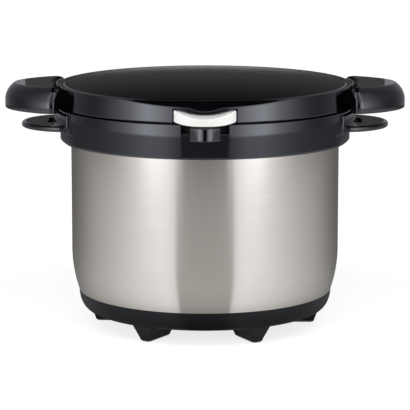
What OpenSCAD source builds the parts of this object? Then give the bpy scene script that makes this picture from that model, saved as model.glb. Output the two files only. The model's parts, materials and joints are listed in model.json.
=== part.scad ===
// Thermal cooker: a double-walled steel container with a hinged, latched lid
// and a covered cooking pot inside. Millimetres, +Z up, front towards -Y.
// The origin is on the floor, under the middle of the container.

/* [Container] */
// Outer diameter of the steel wall
shell_d = 234; // [210:1:260]
// Thickness of the steel sheets of the container
sheet_t = 0.8; // [0.6:0.1:1.2]
// Height of bare steel between base cover and collar
steel_h = 133; // [115:1:170]
// Height over which the wall curves in above the base cover
steel_curve_h = 36.5; // [24:0.5:50]
// Radius of that inward curve
steel_curve_r = 113; // [90:1:160]
// Inward step of the shell, where the base cover fits round it
shell_step = 3.5; // [3:0.1:4.5]
// Depth of the stepped foot of the shell
shell_foot_h = 9.5; // [8:0.5:11]
// Bevel at the bottom of the shell
shell_bevel = 4.4; // [3:0.2:6]
// Width of the vacuum between the two walls
vacuum_gap = 8; // [6:0.5:10]
// Corner radius at the bottom of the inner wall
liner_corner_r = 14; // [8:1:20]
// Radius of the cap over the vacuum port
port_cap_r = 14; // [8:1:18]
// Thickness of the cap over the vacuum port
port_cap_t = 2.5; // [1.5:0.1:3.5]

/* [Base] */
// Height of the feet
foot_h = 14.5; // [8:0.5:20]
// Height of the base cover
base_h = 17; // [15:0.5:20]
// Thickness of the base cover
base_t = 2.5; // [1.8:0.1:3]
// Inset of the base cover's flat bottom from the steel's lower edge
base_inset = 10; // [7:0.5:14]
// Number of feet
foot_count = 6; // [3:1:6]
// Turn of the ring of feet
foot_turn = -2.2; // [-10:0.1:10]
// Distance from the axis to the outer end of a foot, at the floor
foot_reach = 96; // [85:1:97]
// Length of a foot along the floor
foot_len = 32; // [20:1:40]
// Width of a foot at its root
foot_root_w = 21; // [16:0.5:26]
// Width of a foot at the floor
foot_tip_w = 9; // [6:0.5:12]
// Slant of a foot's ends, from root to floor
foot_slant = 5; // [2:0.5:8]
// Radius of the peg that holds a foot
foot_peg_r = 3; // [2:0.2:4]
// Distance from the axis to the base screws
base_screw_pcr = 52; // [40:1:56]

/* [Collar] */
// How far the collar stands out past the steel
collar_over = 11.8; // [10:0.2:15]
// Height of the collar
collar_h = 29; // [26:0.5:34]
// Thickness of the collar's wall
collar_t = 2.8; // [2:0.1:3.2]
// Radius of the collar's lower edge
collar_edge_r = 4; // [3.5:0.1:6]
// Bevel of the collar's upper edge
collar_bevel = 0.6; // [0.3:0.1:1]
// Thickness of the lip round the mouth
lip_t = 3; // [2:0.1:4]
// Depth of the lid's seat below the collar's top
seat_depth = 3.5; // [3:0.1:5]
// Overhang of the seat past the steel
seat_over = 1.3; // [1:0.1:2]
// Thickness of the ring seal under the collar's lip
mouth_seal_t = 2; // [1.5:0.1:3]

/* [Grips] */
// Radius of a lower grip's round outline
grip_r = 42; // [38:0.5:46]
// Thickness of a lower grip
grip_t = 5; // [4.6:0.1:7]
// Height of a grip's underside above the collar's lower edge
grip_rise = 10; // [7:0.5:12]
// Distance from the collar's wall back to the middle of the grip's outline
grip_set = 10.8; // [8:0.1:14]
// Width of the slot between grip and collar
grip_slot_w = 8; // [5:0.5:12]
// Length of that slot
grip_slot_l = 30; // [24:1:34]
// Thickness of the pads that carry a grip on the collar
pad_t = 2.6; // [2:0.1:4]
// Height of those pads
pad_h = 15.9; // [12:0.1:16]
// Height of the pads' lower ends above the collar's lower edge
pad_rise = 10.6; // [10.2:0.1:12]
// Distance between the outer ends of the two pads
pad_span = 116; // [100:1:120]
// Distance from a grip's middle to each of its screws
grip_screw_y = 25; // [22:0.5:28]

/* [Lid] */
// Gap between collar and lid
lid_gap = 1.6; // [1:0.1:3]
// Height of the lid's side wall
lid_wall_h = 17.5; // [16.5:0.5:22]
// Thickness of the lid's side wall
lid_t = 2.8; // [2:0.1:3.2]
// Inward lean of the lid's side wall
lid_lean = 1.2; // [0:0.1:2]
// Radius of the rim's upper edge
rim_edge_r = 0.9; // [0.4:0.1:1.2]
// Thickness of the rim
rim_t = 3.6; // [3:0.1:4.2]
// Width of the rim outside the top panel
rim_w = 3.8; // [3:0.1:6]
// Width of the shelf that carries the top panel
shelf_w = 6; // [4:0.5:8]
// Thickness of the top panel
panel_t = 2.3; // [1.6:0.1:2.6]
// Rise of the top panel's dome
dome_rise = 5; // [2:0.5:9]
// Radius of the brow line across the front of the lid
brow_r = 195; // [170:1:240]
// Distance from the brow line to the lid's front edge
brow_w = 9.5; // [7:0.5:11]
// Downward slope of the brow
brow_angle = 31; // [20:1:36]
// Thickness of the lid's floor ring
lid_floor_t = 2.5; // [2:0.1:3]
// Thickness of the lid's inner plate
plate_t = 2; // [1.5:0.1:2.5]
// Depth of the plug ring below the lid's inner plate
plug_depth = 8; // [5:0.5:9]
// Width of the plug ring
plug_w = 3; // [2:0.1:4]
// Gap between plug ring and container mouth
plug_gap = 2; // [1.5:0.1:3]
// Width of the lid's seal
lid_seal_w = 3.6; // [2.5:0.1:4]
// Bearing of each lid screw, from +X
lid_screw_bearings = [30, 90, 150, 210, 330];

/* [Ears] */
// Height of an upper ear
ear_h = 21.8; // [18:0.2:25]
// How far an ear reaches below the collar's top
ear_drop = 2; // [1:0.1:2.2]
// How far an ear stands out from the lid's wall
ear_out = 45.5; // [42:0.1:50]
// Width of an ear at the lid's wall
ear_w = 105; // [98:0.5:110]
// Radius of an ear's front and back sides, seen from above
ear_side_r = 71.5; // [68:0.5:84]
// Distance from the lid's wall back to the middles of those sides
ear_side_set = 20.7; // [16:0.1:26]
// Radius of an ear's outer end, seen from above
ear_tip_r = 60; // [58:0.5:70]
// Radius of the bow in an ear's side
ear_bow_r = 17.8; // [14:0.2:20.6]
// Angle through which that bow turns
ear_bow_angle = 56; // [40:1:60]
// Radius of the ear's upper edge
ear_edge_r = 2; // [1:0.2:4]
// Radius of the ear's lower edge
ear_low_edge_r = 1.6; // [1:0.1:3]
// Gap between ear and lid
ear_gap = 2.8; // [2:0.1:4]
// Depth of the finger pocket in the lid behind an ear
pocket_depth = 16.3; // [12:0.1:17]
// Length of that pocket
pocket_l = 116.4; // [100:0.2:120]
// Thickness of the pocket's walls
pocket_t = 2.5; // [2:0.1:3]
// Width of the neck that carries an ear
neck_w = 32; // [28:1:40]
// How far the neck reaches past the lid's wall into the ear
neck_out = 5.2; // [4:0.1:8]
// Height of that neck
neck_h = 11; // [9:0.5:11.5]
// Distance between the two screws of an ear
ear_screw_gap = 16; // [12:1:18]

/* [Latch] */
// Width of the latch lever
lever_w = 51.2; // [46:0.2:56]
// Gap at each end of the lever
lever_end_gap = 1.15; // [0.6:0.05:2]
// Gap above the lever
lever_top_gap = 1; // [0.7:0.05:1.5]
// How far the lever stands out past the collar
lever_out = 6.7; // [5.5:0.1:8]
// Radius of the lever's bowed front
lever_round = 46; // [42:1:60]
// How far the lever reaches below the collar's top
lever_drop = 0.5; // [0:0.1:0.8]
// Depth of the lid above the lever's ends, from the rim
lever_roof_drop = 6.3; // [6:0.1:7.5]
// Radius of the hollow in the lever's top
dip_r = 70; // [60:1:90]
// Depth of that hollow at its middle
dip_depth = 4.6; // [3:0.1:5]
// Forward slope of the lever's top
dip_slope = 13; // [5:1:18]
// Radius of the thumb scoop in the lid's front
scoop_r = 60; // [45:1:80]
// Slope of the thumb scoop
scoop_angle = 43; // [38:1:46]
// Depth of the latch pocket in the lid
latch_pocket = 21.8; // [20:0.1:23]
// Distance from the lid's wall to the latch pin
latch_pin_set = 15.8; // [14.5:0.1:16.5]
// Radius of the latch pin
latch_pin_r = 1.5; // [1.2:0.1:1.8]
// Radius of the lever's hubs
hub_r = 4; // [3.4:0.1:4.2]
// Width of each lever arm
arm_w = 6; // [4:0.5:8]
// Distance between the middles of the lever arms
arm_span = 34; // [30:1:40]
// Press angle of the latch
latch_travel = 4; // [2:0.5:4.5]
// Width of the sheet hook behind the catch
hook_w = 20; // [14:1:24]
// Thickness of the sheet hook
hook_t = 2; // [1.5:0.1:2.5]
// Width of the catch
catch_w = 25.7; // [22:0.1:30]
// Radius of the catch's bowed front
catch_round = 18; // [16:0.5:24]
// Depth of the catch's sides
catch_side = 1; // [0.6:0.1:1.2]
// Height of the catch
catch_h = 9.8; // [8:0.1:11]
// Width of the notch in the collar behind the catch
catch_notch_w = 40; // [34:0.5:46]
// Depth of that notch
catch_notch_h = 7.5; // [6:0.1:8]

/* [Hinge] */
// Radius of the hinge knuckles
knuckle_r = 5; // [4:0.1:5.5]
// Radius of the hinge pin
hinge_pin_r = 1.75; // [1.4:0.05:2.2]
// Distance from the lid's wall to the hinge axis
hinge_out = 1.7; // [1.2:0.1:3]
// Width of the lid's knuckle
lid_knuckle_w = 28; // [20:1:36]
// Width of each bracket knuckle
bracket_knuckle_w = 12.6; // [9:0.2:18]
// Height of the bracket's plate below the collar's top
bracket_h = 19.5; // [16:0.5:24]
// Width of the bare end of the hinge pin
pin_end = 0.8; // [0.5:0.1:1.5]

/* [Pot] */
// Gap between pot and inner wall
pot_gap = 6; // [5.5:0.1:8]
// Thickness of the pot's wall
pot_t = 1; // [0.8:0.1:1.5]
// Thickness of the pot's heat-spreading base
pot_base_t = 5; // [3:0.5:8]
// Inset of that base from the pot's wall
pot_base_inset = 15; // [13:1:25]
// Corner radius at the bottom of the pot
pot_corner_r = 10; // [6:1:14]
// Depth from the collar's top to the pot's rim
pot_drop = 25.5; // [25:0.5:40]
// Radius of the rolled rim
pot_rim_r = 2; // [1.5:0.1:2.4]
// Radius of the wire of the carrying loops
loop_wire_r = 1.8; // [1.4:0.1:1.9]
// Length of a loop, from its bracket to its lower bend
loop_h = 30; // [20:1:50]
// Half of the arc that a loop spans
loop_half_arc = 14; // [10:1:24]
// Width and height of a loop's brackets
loop_bracket = 12; // [9:0.5:16]
// Thickness of the glass of the pot cover
glass_t = 4.2; // [3:0.1:5]
// Rise of the glass dome
glass_rise = 4.2; // [2:0.1:5]
// Thickness of the steel band round the glass
band_t = 0.8; // [0.5:0.1:1]
// Overlap of the band over the glass
band_w = 5; // [3:0.5:8]
// Radius of the knob
knob_r = 17; // [12:0.5:22]
// Radius of the knob's neck
knob_neck_r = 10; // [7:0.5:11]

/* [Fasteners and fits] */
// Radius of the small screws
screw_r = 1.5; // [1.2:0.1:1.6]
// Radius of the heads of the small screws
screw_head_r = 2.6; // [2.2:0.1:2.8]
// Height of the heads of the small screws
screw_head_h = 1.8; // [1.2:0.1:2]
// Gap between seated pieces
seat_gap = 0.1; // [0.05:0.05:0.2]
// Gap between pieces that move past each other
move_gap = 0.4; // [0.3:0.05:0.6]
// Radial play of a pin in its bore
pin_play = 0.05; // [0.02:0.01:0.09]

/* [Hidden] */
$fn = 96;
far = 400;
eps = 0.01;

// Heights
base_z = foot_h;
base_top = base_z + base_h;
shell_low = base_top - shell_foot_h;
collar_z = base_top + steel_h;
collar_top = collar_z + collar_h;
lip_top = collar_top - seat_depth;
lip_low = lip_top - lip_t;
flange_top = lip_low - mouth_seal_t;
liner_floor = shell_low + sheet_t + vacuum_gap + sheet_t;
lid_z = collar_top + lid_gap;
rim_z = lid_z + lid_wall_h;
shelf_z = rim_z - panel_t;
plate_top = lid_z - seat_gap;
plate_z = plate_top - plate_t;
plate_mid_z = plate_z - plate_t;
ear_z = collar_top - ear_drop;
lever_low = collar_top - lever_drop;
lever_roof = rim_z - lever_roof_drop;
latch_pin_z = lever_roof - hub_r - lever_top_gap;
catch_floor = collar_top - catch_notch_h;
hinge_z = collar_top + knuckle_r + move_gap;
grip_z = collar_z + grip_rise;
pot_rim_z = collar_top - pot_drop - pot_rim_r;
pot_low = liner_floor + pot_base_t;
cover_z = pot_rim_z + pot_rim_r + seat_gap;

// Radii
shell_r = shell_d / 2;
steel_low_r = shell_r - arc_sag(steel_curve_r, steel_curve_h);
shell_foot_r = steel_low_r - shell_step;
liner_out_r = shell_r - sheet_t - vacuum_gap;
liner_r = liner_out_r - sheet_t;
mouth_r = liner_r + 1;
seat_r = shell_r + seat_over;
deck_r = seat_r + lip_t;
collar_r = shell_r + collar_over;
collar_in_r = collar_r - collar_t;
lid_in_r = collar_r - lid_t;
rim_in_r = collar_r - lid_lean - rim_w;
panel_r = rim_in_r - seat_gap;
shelf_r = rim_in_r - shelf_w;
plug_r = mouth_r - plug_gap;
plate_r = seat_r - 1.8;
lid_floor_r = plug_r + 1;
lid_screw_pcr = plug_r + screw_head_r + 0.4;
core_r = plug_r - plug_w + 0.5;
pot_r = liner_r - pot_gap;
band_r = pot_r + pot_rim_r + 1.2;

// Places round the lid
pocket_x = collar_r - pocket_depth;
brow_y = collar_r - brow_w;
latch_pin_y = -(collar_r - latch_pin_set);
latch_wall_y = -(collar_r - latch_pocket);
lever_front = -(collar_r + lever_out);
lever_lip_back = -(collar_r + move_gap);
lever_back = latch_pin_y - hub_r - 3;
hinge_y = collar_r + hinge_out;
hinge_wall_y = hinge_y - knuckle_r - 2 * move_gap;
hinge_half_w = lid_knuckle_w / 2 + move_gap + bracket_knuckle_w;
catch_y = -sqrt(pow(collar_r, 2) - pow(catch_w / 2, 2)) - catch_side + sqrt(pow(catch_round, 2) - pow(catch_w / 2, 2));
catch_top = lever_low - (collar_r + lever_out + latch_pin_y) * sin(latch_travel) - move_gap;
hook_back = -(deck_r + 2.6);
hook_low = catch_floor + 2;

// Bearings of the four grip screws and the pot's loop brackets
grip_screw_bearing = asin(grip_screw_y / collar_r);
loop_r = pot_r + pot_gap / 2 + 0.1;

// Distance that an arc of radius r departs from its tangent over length l
function arc_sag(r, l) = r - sqrt(r * r - l * l);

// Points along an arc about (x, z), from bearing a to bearing b
function arc(x, z, r, a, b, n = 8) = [for (i = [0:n]) [x + r * cos(a + (b - a) * i / n), z + r * sin(a + (b - a) * i / n)]];

// Points of a shallow dome from radius r0 to the axis, rising by h above z over radius r
function dome(r, z, h, r0, n = 12) = [for (i = [0:n]) let (q = r0 * (1 - i / n)) [q, z + h * (1 - q * q / (r * r))]];

// Outer line of the shell's wall, from the step up to the top, set in by t
function steel_line(t) = concat(
    [for (i = [0:12]) let (h = steel_curve_h * (1 - i / 12))
        [shell_r - steel_curve_r + sqrt(pow(steel_curve_r - t, 2) - pow(max(0, h - t), 2)) , base_top + steel_curve_h - max(0, h - t)]],
    [[shell_r - t, flange_top - sheet_t]]);

// Pan-head screw along Z: the head's seat is at z = 0, the shank goes down
module screw(length, shank_r = screw_r, head_r = screw_head_r, head_h = screw_head_h) {
    difference() {
        cylinder(r = head_r, h = head_h);
        for (a = [0, 90])
            rotate([0, 0, a])
                translate([-head_r * 0.6, -head_r * 0.13, head_h * 0.55])
                    cube([head_r * 1.2, head_r * 0.26, head_h]);
    }
    translate([0, 0, -length])
        cylinder(r = shank_r, h = length + eps);
}

// Screw along a radius, its head towards the axis and seated at radius r
module screw_outward(bearing, r, z, length) {
    rotate([0, 0, bearing])
        translate([r, 0, z])
            rotate([0, -90, 0])
                screw(length);
}

// Straight hole along a radius
module hole_outward(bearing, r, z, length, hole_r) {
    rotate([0, 0, bearing])
        translate([r, 0, z])
            rotate([0, 90, 0])
                cylinder(r = hole_r, h = length);
}

// Cylinder along X, centred
module bar_x(r, w) {
    rotate([0, 90, 0])
        cylinder(r = r, h = w, center = true);
}

// Copies on the right and, turned half round, on the left
module both_sides() {
    children();
    rotate([0, 0, 180])
        children();
}

// Ring between two radii
module ring(r_in, r_out, z, h) {
    translate([0, 0, z])
        difference() {
            cylinder(r = r_out, h = h);
            translate([0, 0, -1])
                cylinder(r = r_in, h = h + 2);
        }
}

module outer_shell() {
    color("silver")
        rotate_extrude()
            polygon(concat(
                [[0, shell_low], [shell_foot_r - shell_bevel, shell_low], [shell_foot_r, shell_low + shell_bevel],
                    [shell_foot_r, base_top]],
                steel_line(0),
                [for (i = [len(steel_line(sheet_t)) - 1:-1:0]) steel_line(sheet_t)[i]],
                [[shell_foot_r - sheet_t, base_top + sheet_t],
                    [shell_foot_r - sheet_t, shell_low + shell_bevel + sheet_t * 0.4],
                    [shell_foot_r - shell_bevel - sheet_t * 0.4, shell_low + sheet_t],
                    [0, shell_low + sheet_t]]));
}

module vacuum_liner() {
    low = liner_floor - sheet_t;
    color("gainsboro")
        rotate_extrude()
            polygon(concat(
                [[0, low]],
                arc(liner_out_r - liner_corner_r, low + liner_corner_r, liner_corner_r, -90, 0),
                [[liner_out_r, flange_top - sheet_t], [shell_r, flange_top - sheet_t], [shell_r, flange_top],
                    [liner_r, flange_top]],
                arc(liner_out_r - liner_corner_r, low + liner_corner_r, liner_corner_r - sheet_t, 0, -90),
                [[0, liner_floor]]));
}

module vacuum_port_cap() {
    color("gray")
        translate([0, 0, shell_low - port_cap_t])
            cylinder(r1 = port_cap_r - 1, r2 = port_cap_r, h = port_cap_t);
}

// Bearings of the base screws
function base_bearings() = [30, 150, 270];

module base_cover() {
    flat_r = steel_low_r - base_inset;
    fit_r = shell_foot_r + 0.3;
    fit_z = shell_low + shell_bevel;
    color([0.1, 0.1, 0.11])
        difference() {
            rotate_extrude()
                polygon(concat(
                    [[0, base_z], [flat_r, base_z]],
                    [for (i = [1:8]) let (a = 90 * i / 8)
                        [flat_r + base_inset * sin(a), base_top - seat_gap - (base_h - seat_gap) * cos(a)]],
                    [[fit_r, base_top - seat_gap], [fit_r, fit_z - 0.5],
                        [fit_r - shell_bevel - 0.6, fit_z - shell_bevel - 1.1],
                        [flat_r - 4, base_z + base_t], [0, base_z + base_t]]));
            for (a = base_bearings())
                rotate([0, 0, a])
                    translate([base_screw_pcr, 0, 0])
                        cylinder(r = 2.2, h = far);
            for (i = [0:foot_count - 1])
                rotate([0, 0, foot_bearing(i)])
                    translate([foot_reach - foot_len / 2, 0, 0])
                        cylinder(r = foot_peg_r + seat_gap, h = far);
        }
}

// Bearing of foot i: two feet stand either side of the front
function foot_bearing(i) = -90 + 180 / foot_count + 360 / foot_count * i + foot_turn;

// One foot along +X: tapered across and slanted at both ends
module foot() {
    low = foot_reach - foot_len;
    round_r = 3;
    intersection() {
        rotate([90, 0, 90])
            linear_extrude(height = far)
                polygon(concat(
                    [[-foot_root_w / 2, foot_h], [-foot_tip_w / 2 - 1, round_r]],
                    arc(-foot_tip_w / 2 + 2, round_r, round_r, 180, 270, 5),
                    arc(foot_tip_w / 2 - 2, round_r, round_r, 270, 360, 5),
                    [[foot_tip_w / 2 + 1, round_r], [foot_root_w / 2, foot_h]]));
        rotate([90, 0, 0])
            linear_extrude(height = far, center = true)
                polygon(concat(
                    [[low - foot_slant * 1.6, foot_h], [low - 1, round_r]],
                    arc(low + 2, round_r, round_r, 180, 270, 5),
                    arc(foot_reach - 2, round_r, round_r, 270, 360, 5),
                    [[foot_reach + 1, round_r], [foot_reach + foot_slant, foot_h]]));
    }
    translate([foot_reach - foot_len / 2, 0, foot_h - eps])
        cylinder(r = foot_peg_r, h = base_t + 1);
}

module feet() {
    color([0.08, 0.08, 0.09])
        for (i = [0:foot_count - 1])
            rotate([0, 0, foot_bearing(i)])
                foot();
}

module base_nuts() {
    color("darkgray")
        for (a = base_bearings())
            rotate([0, 0, a])
                translate([base_screw_pcr, 0, base_z + base_t + seat_gap])
                    difference() {
                        cylinder(r = 4.6, h = shell_low - base_z - base_t - seat_gap, $fn = 6);
                        translate([0, 0, -1])
                            cylinder(r = 2 + pin_play, h = far);
                    }
}

module base_screws() {
    color("dimgray")
        for (a = base_bearings())
            rotate([0, 0, a])
                translate([base_screw_pcr, 0, base_z])
                    rotate([180, 0, 0])
                        screw(shell_low - base_z - 0.6, 2, 3.6, 2.2);
}

module mouth_seal() {
    color("lightgray")
        ring(mouth_r + 0.5, shell_r - 1.5, flange_top, mouth_seal_t);
}

// Outline of the collar's section, open towards the steel
function collar_section() = concat(
    [[shell_r + seat_gap, collar_z]],
    arc(collar_r - collar_edge_r, collar_z + collar_edge_r, collar_edge_r, -90, 0),
    [[collar_r, collar_top - collar_bevel], [collar_r - collar_bevel, collar_top], [seat_r, collar_top],
        [seat_r, lip_top], [mouth_r, lip_top], [mouth_r, lip_low], [deck_r, lip_low],
        [deck_r, collar_top - lip_t], [collar_in_r, collar_top - lip_t]],
    arc(collar_r - collar_edge_r, collar_z + collar_edge_r, collar_edge_r - collar_t, 0, -90, 4),
    [[shell_r + seat_gap, collar_z + collar_t]]);

module collar() {
    color([0.13, 0.13, 0.14])
        difference() {
            rotate_extrude()
                polygon(collar_section());
            translate([-catch_notch_w / 2, -far, catch_floor])
                cube([catch_notch_w, far - deck_r - 0.3, far]);
            for (a = [-grip_screw_bearing, grip_screw_bearing])
                both_sides()
                    hole_outward(a, shell_r + 3, grip_z + grip_t / 2, far, screw_r + seat_gap);
            for (x = catch_screw_xs())
                translate([x, 0, catch_screw_z()])
                    rotate([90, 0, 0])
                        translate([0, 0, shell_r + 3])
                            cylinder(r = screw_r + seat_gap, h = far);
            for (x = bracket_screw_xs())
                translate([x, shell_r + 3, bracket_screw_z()])
                    rotate([-90, 0, 0])
                        cylinder(r = screw_r + seat_gap, h = far);
        }
}

// One lower grip on the +X side: a round-edged plate on two pads, with a slot behind it
module grip() {
    grip_x = collar_r - grip_set;
    pad_z = collar_z + pad_rise;
    difference() {
        union() {
            translate([grip_x, 0, grip_z])
                rotate_extrude()
                    polygon(concat(
                        [[0, 0]],
                        arc(grip_r - grip_t / 2, grip_t / 2, grip_t / 2, -90, 90),
                        [[0, grip_t]]));
            intersection() {
                ring(collar_r, collar_r + pad_t, pad_z, pad_h);
                translate([0, -pad_span / 2, 0])
                    cube([far, pad_span, far]);
            }
        }
        cylinder(r = collar_r + seat_gap, h = far);
        translate([0, -grip_slot_l / 2, 0])
            cube([collar_r + grip_slot_w, grip_slot_l, far]);
        for (a = [-grip_screw_bearing, grip_screw_bearing])
            hole_outward(a, collar_r - 1, grip_z + grip_t / 2, grip_screw_len() - 1, screw_r + pin_play);
    }
}

// Shank length of the grip screws, from the collar's inner face into the grip
function grip_screw_len() = collar_t + 8;

module grip_right() {
    color([0.13, 0.13, 0.14])
        grip();
}

module grip_left() {
    color([0.13, 0.13, 0.14])
        rotate([0, 0, 180])
            grip();
}

module grip_screws() {
    color("dimgray")
        for (a = [-grip_screw_bearing, grip_screw_bearing])
            both_sides()
                screw_outward(a, collar_in_r - seat_gap, grip_z + grip_t / 2, grip_screw_len());
}

// Places of the two screws of the catch
function catch_screw_xs() = [-catch_w / 4, catch_w / 4];
function catch_screw_z() = catch_top - catch_h + screw_head_r;

module latch_catch() {
    color([0.1, 0.1, 0.11])
        difference() {
            intersection() {
                translate([0, catch_y, catch_top - catch_h])
                    cylinder(r = catch_round, h = catch_h);
                translate([-catch_w / 2, -far, 0])
                    cube([catch_w, far, far]);
            }
            cylinder(r = collar_r + seat_gap, h = far, $fn = 288);
            for (x = catch_screw_xs())
                translate([x, -collar_in_r, catch_screw_z()])
                    rotate([90, 0, 0])
                        cylinder(r = screw_r + pin_play, h = collar_t + catch_screw_depth());
        }
}

// Reach of the catch screws past the collar's wall
function catch_screw_depth() = 3;

module catch_screws() {
    seat = sqrt(pow(collar_in_r, 2) - pow(catch_w / 4 + screw_head_r, 2)) - seat_gap;
    color("dimgray")
        for (x = catch_screw_xs())
            translate([x, -seat, catch_screw_z()])
                rotate([-90, 0, 0])
                    screw(collar_r - seat + catch_screw_depth() - 0.5);
}

// Places of the two screws of the hinge bracket
function bracket_screw_xs() = [-hinge_half_w + 7, hinge_half_w - 7];
function bracket_screw_z() = collar_top - bracket_h + 6;
bracket_back = hinge_y + knuckle_r - 1;

module hinge_bracket() {
    knuckle_x = lid_knuckle_w / 2 + move_gap;
    color([0.12, 0.12, 0.13])
        difference() {
            union() {
                translate([-hinge_half_w, collar_r - 8, collar_top - bracket_h])
                    cube([2 * hinge_half_w, bracket_back - collar_r + 8, bracket_h - move_gap]);
                for (s = [-1, 1])
                    translate([s * (knuckle_x + bracket_knuckle_w / 2), hinge_y, hinge_z]) {
                        bar_x(knuckle_r, bracket_knuckle_w);
                        translate([-bracket_knuckle_w / 2, -knuckle_r * 0.2, collar_top - hinge_z - move_gap - eps])
                            cube([bracket_knuckle_w, bracket_back - hinge_y + knuckle_r * 0.2,
                                hinge_z - collar_top + move_gap]);
                    }
            }
            translate([0, 0, collar_top - bracket_h - 1])
                cylinder(r = collar_r + seat_gap, h = bracket_h + 1 + seat_gap);
            translate([0, hinge_y, hinge_z])
                bar_x(hinge_pin_r + pin_play, far);
            for (x = bracket_screw_xs())
                translate([x, 0, bracket_screw_z()])
                    rotate([-90, 0, 0])
                        cylinder(r = screw_r + pin_play, h = far);
        }
}

module bracket_screws() {
    color("dimgray")
        for (x = bracket_screw_xs())
            translate([x, bracket_back, bracket_screw_z()])
                rotate([-90, 0, 0])
                    screw(bracket_back - shell_r - 4, head_h = 1);
}

module hinge_pin() {
    color("silver")
        translate([0, hinge_y, hinge_z])
            bar_x(hinge_pin_r, 2 * (hinge_half_w + pin_end));
}

module pot_body() {
    color("whitesmoke")
        difference() {
            rotate_extrude()
                union() {
                    polygon(concat(
                        [[0, pot_low]],
                        arc(pot_r - pot_corner_r, pot_low + pot_corner_r, pot_corner_r, -90, 0),
                        [[pot_r, pot_rim_z], [pot_r - pot_t, pot_rim_z]],
                        arc(pot_r - pot_corner_r, pot_low + pot_corner_r, pot_corner_r - pot_t, 0, -90),
                        [[0, pot_low + pot_t]]));
                    translate([pot_r + pot_rim_r - pot_t, pot_rim_z])
                        circle(r = pot_rim_r, $fn = 32);
                }
            for (a = loop_bearings())
                both_sides()
                    hole_outward(a, pot_r - 5, rivet_z(), 10, screw_r + seat_gap);
        }
}

module pot_base() {
    color("lightsteelblue")
        translate([0, 0, liner_floor])
            cylinder(r = pot_r - pot_base_inset, h = pot_base_t);
}

// Bearings and height of the loop brackets
function loop_bearings() = [-loop_half_arc, loop_half_arc];
function loop_bracket_z() = pot_rim_z - pot_rim_r - loop_bracket / 2 - 1;
function rivet_z() = loop_bracket_z() + loop_bracket / 4;

module pot_loop_brackets() {
    color("silver")
        for (a = loop_bearings())
            both_sides()
                rotate([0, 0, a])
                    difference() {
                        intersection() {
                            ring(pot_r + seat_gap / 2, liner_r - 0.8, loop_bracket_z() - loop_bracket / 2, loop_bracket);
                            translate([0, -loop_bracket / 2, 0])
                                cube([far, loop_bracket, far]);
                        }
                        translate([loop_r, 0, loop_bracket_z() - loop_bracket])
                            cylinder(r = loop_wire_r + seat_gap, h = loop_bracket);
                        translate([pot_r - 1, 0, rivet_z()])
                            rotate([0, 90, 0])
                                cylinder(r = screw_r + seat_gap, h = 3.4);
                    }
}

module pot_loops() {
    low = loop_bracket_z() - loop_h;
    color("silver")
        both_sides() {
            for (a = loop_bearings())
                rotate([0, 0, a])
                    translate([loop_r, 0, low]) {
                        sphere(r = loop_wire_r, $fn = 24);
                        cylinder(r = loop_wire_r, h = loop_h - seat_gap);
                    }
            rotate([0, 0, -loop_half_arc])
                rotate_extrude(angle = 2 * loop_half_arc)
                    translate([loop_r, low])
                        circle(r = loop_wire_r, $fn = 24);
        }
}

module pot_rivets() {
    seat = sqrt(pow(pot_r - pot_t, 2) - pow(screw_head_r, 2)) - seat_gap;
    color("silver")
        for (a = loop_bearings())
            both_sides()
                screw_outward(a, seat, rivet_z(), pot_r - seat + 2);
}

// Section of the cover's glass
glass_z = cover_z + band_t + seat_gap;
glass_r = band_r - band_t - seat_gap;
glass_flat_r = band_r - band_t - band_w;

module cover_glass() {
    color([0.75, 0.85, 0.85, 0.4])
        difference() {
            rotate_extrude()
                polygon(concat(
                    [[glass_r, glass_z], [glass_r, glass_z + glass_t]],
                    dome(glass_flat_r, glass_z + glass_t, glass_rise, glass_flat_r),
                    [for (i = [12:-1:0]) dome(glass_flat_r, glass_z, glass_rise, glass_flat_r)[i]]));
            cylinder(r = 2.6, h = far);
        }
}

module cover_band() {
    high = glass_z + glass_t + seat_gap;
    color("silver")
        rotate_extrude()
            polygon([[glass_flat_r, cover_z], [band_r, cover_z], [band_r, high + band_t], [glass_flat_r + 1, high + band_t],
                [glass_flat_r + 1, high], [band_r - band_t, high], [band_r - band_t, cover_z + band_t],
                [glass_flat_r, cover_z + band_t]]);
}

glass_top = glass_z + glass_t + glass_rise;
knob_top = plate_mid_z - 1.2;

module cover_knob() {
    color([0.1, 0.1, 0.11])
        difference() {
            rotate_extrude()
                polygon(concat(
                    [[0, glass_top + seat_gap], [knob_neck_r, glass_top + seat_gap], [knob_neck_r - 1.5, glass_top + 2.5],
                        [knob_r - 1.5, knob_top - 4.5]],
                    arc(knob_r - 1.5, knob_top - 3, 1.5, -90, 90, 6),
                    [[knob_r - 5, knob_top], [0, knob_top - 0.6]]));
            translate([0, 0, glass_top - 1])
                cylinder(r = 2 + pin_play, h = 6);
        }
}

module knob_screw() {
    color("silver")
        translate([0, 0, glass_top - glass_t - seat_gap])
            rotate([180, 0, 0])
                screw(glass_t + 4, 2, 5, 1.8);
}

// Outer block of the lid, before it is hollowed
module lid_block() {
    rotate_extrude()
        polygon(concat(
            [[0, lid_z], [collar_r - collar_bevel, lid_z], [collar_r, lid_z + collar_bevel]],
            arc(collar_r - lid_lean - rim_edge_r, rim_z - rim_edge_r, rim_edge_r, 0, 90, 4),
            [[0, rim_z]]));
}

// Space inside the lid frame, with the openings through its floor and top
module lid_hollow() {
    rotate_extrude()
        polygon([[0, lid_z - 1], [lid_floor_r, lid_z - 1], [lid_floor_r, lid_z + lid_floor_t],
            [lid_in_r, lid_z + lid_floor_t], [lid_in_r - lid_lean, rim_z - rim_t], [shelf_r, rim_z - rim_t],
            [shelf_r, rim_z + 1], [0, rim_z + 1]]);
}

// Finger pocket behind the ear on the +X side, grown by its wall
module ear_pocket(grow = 0) {
    translate([pocket_x - grow, -pocket_l / 2 - grow, lid_z - 1])
        cube([far, pocket_l + 2 * grow, rim_z - rim_t - lid_z + 1 + grow]);
}

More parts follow.
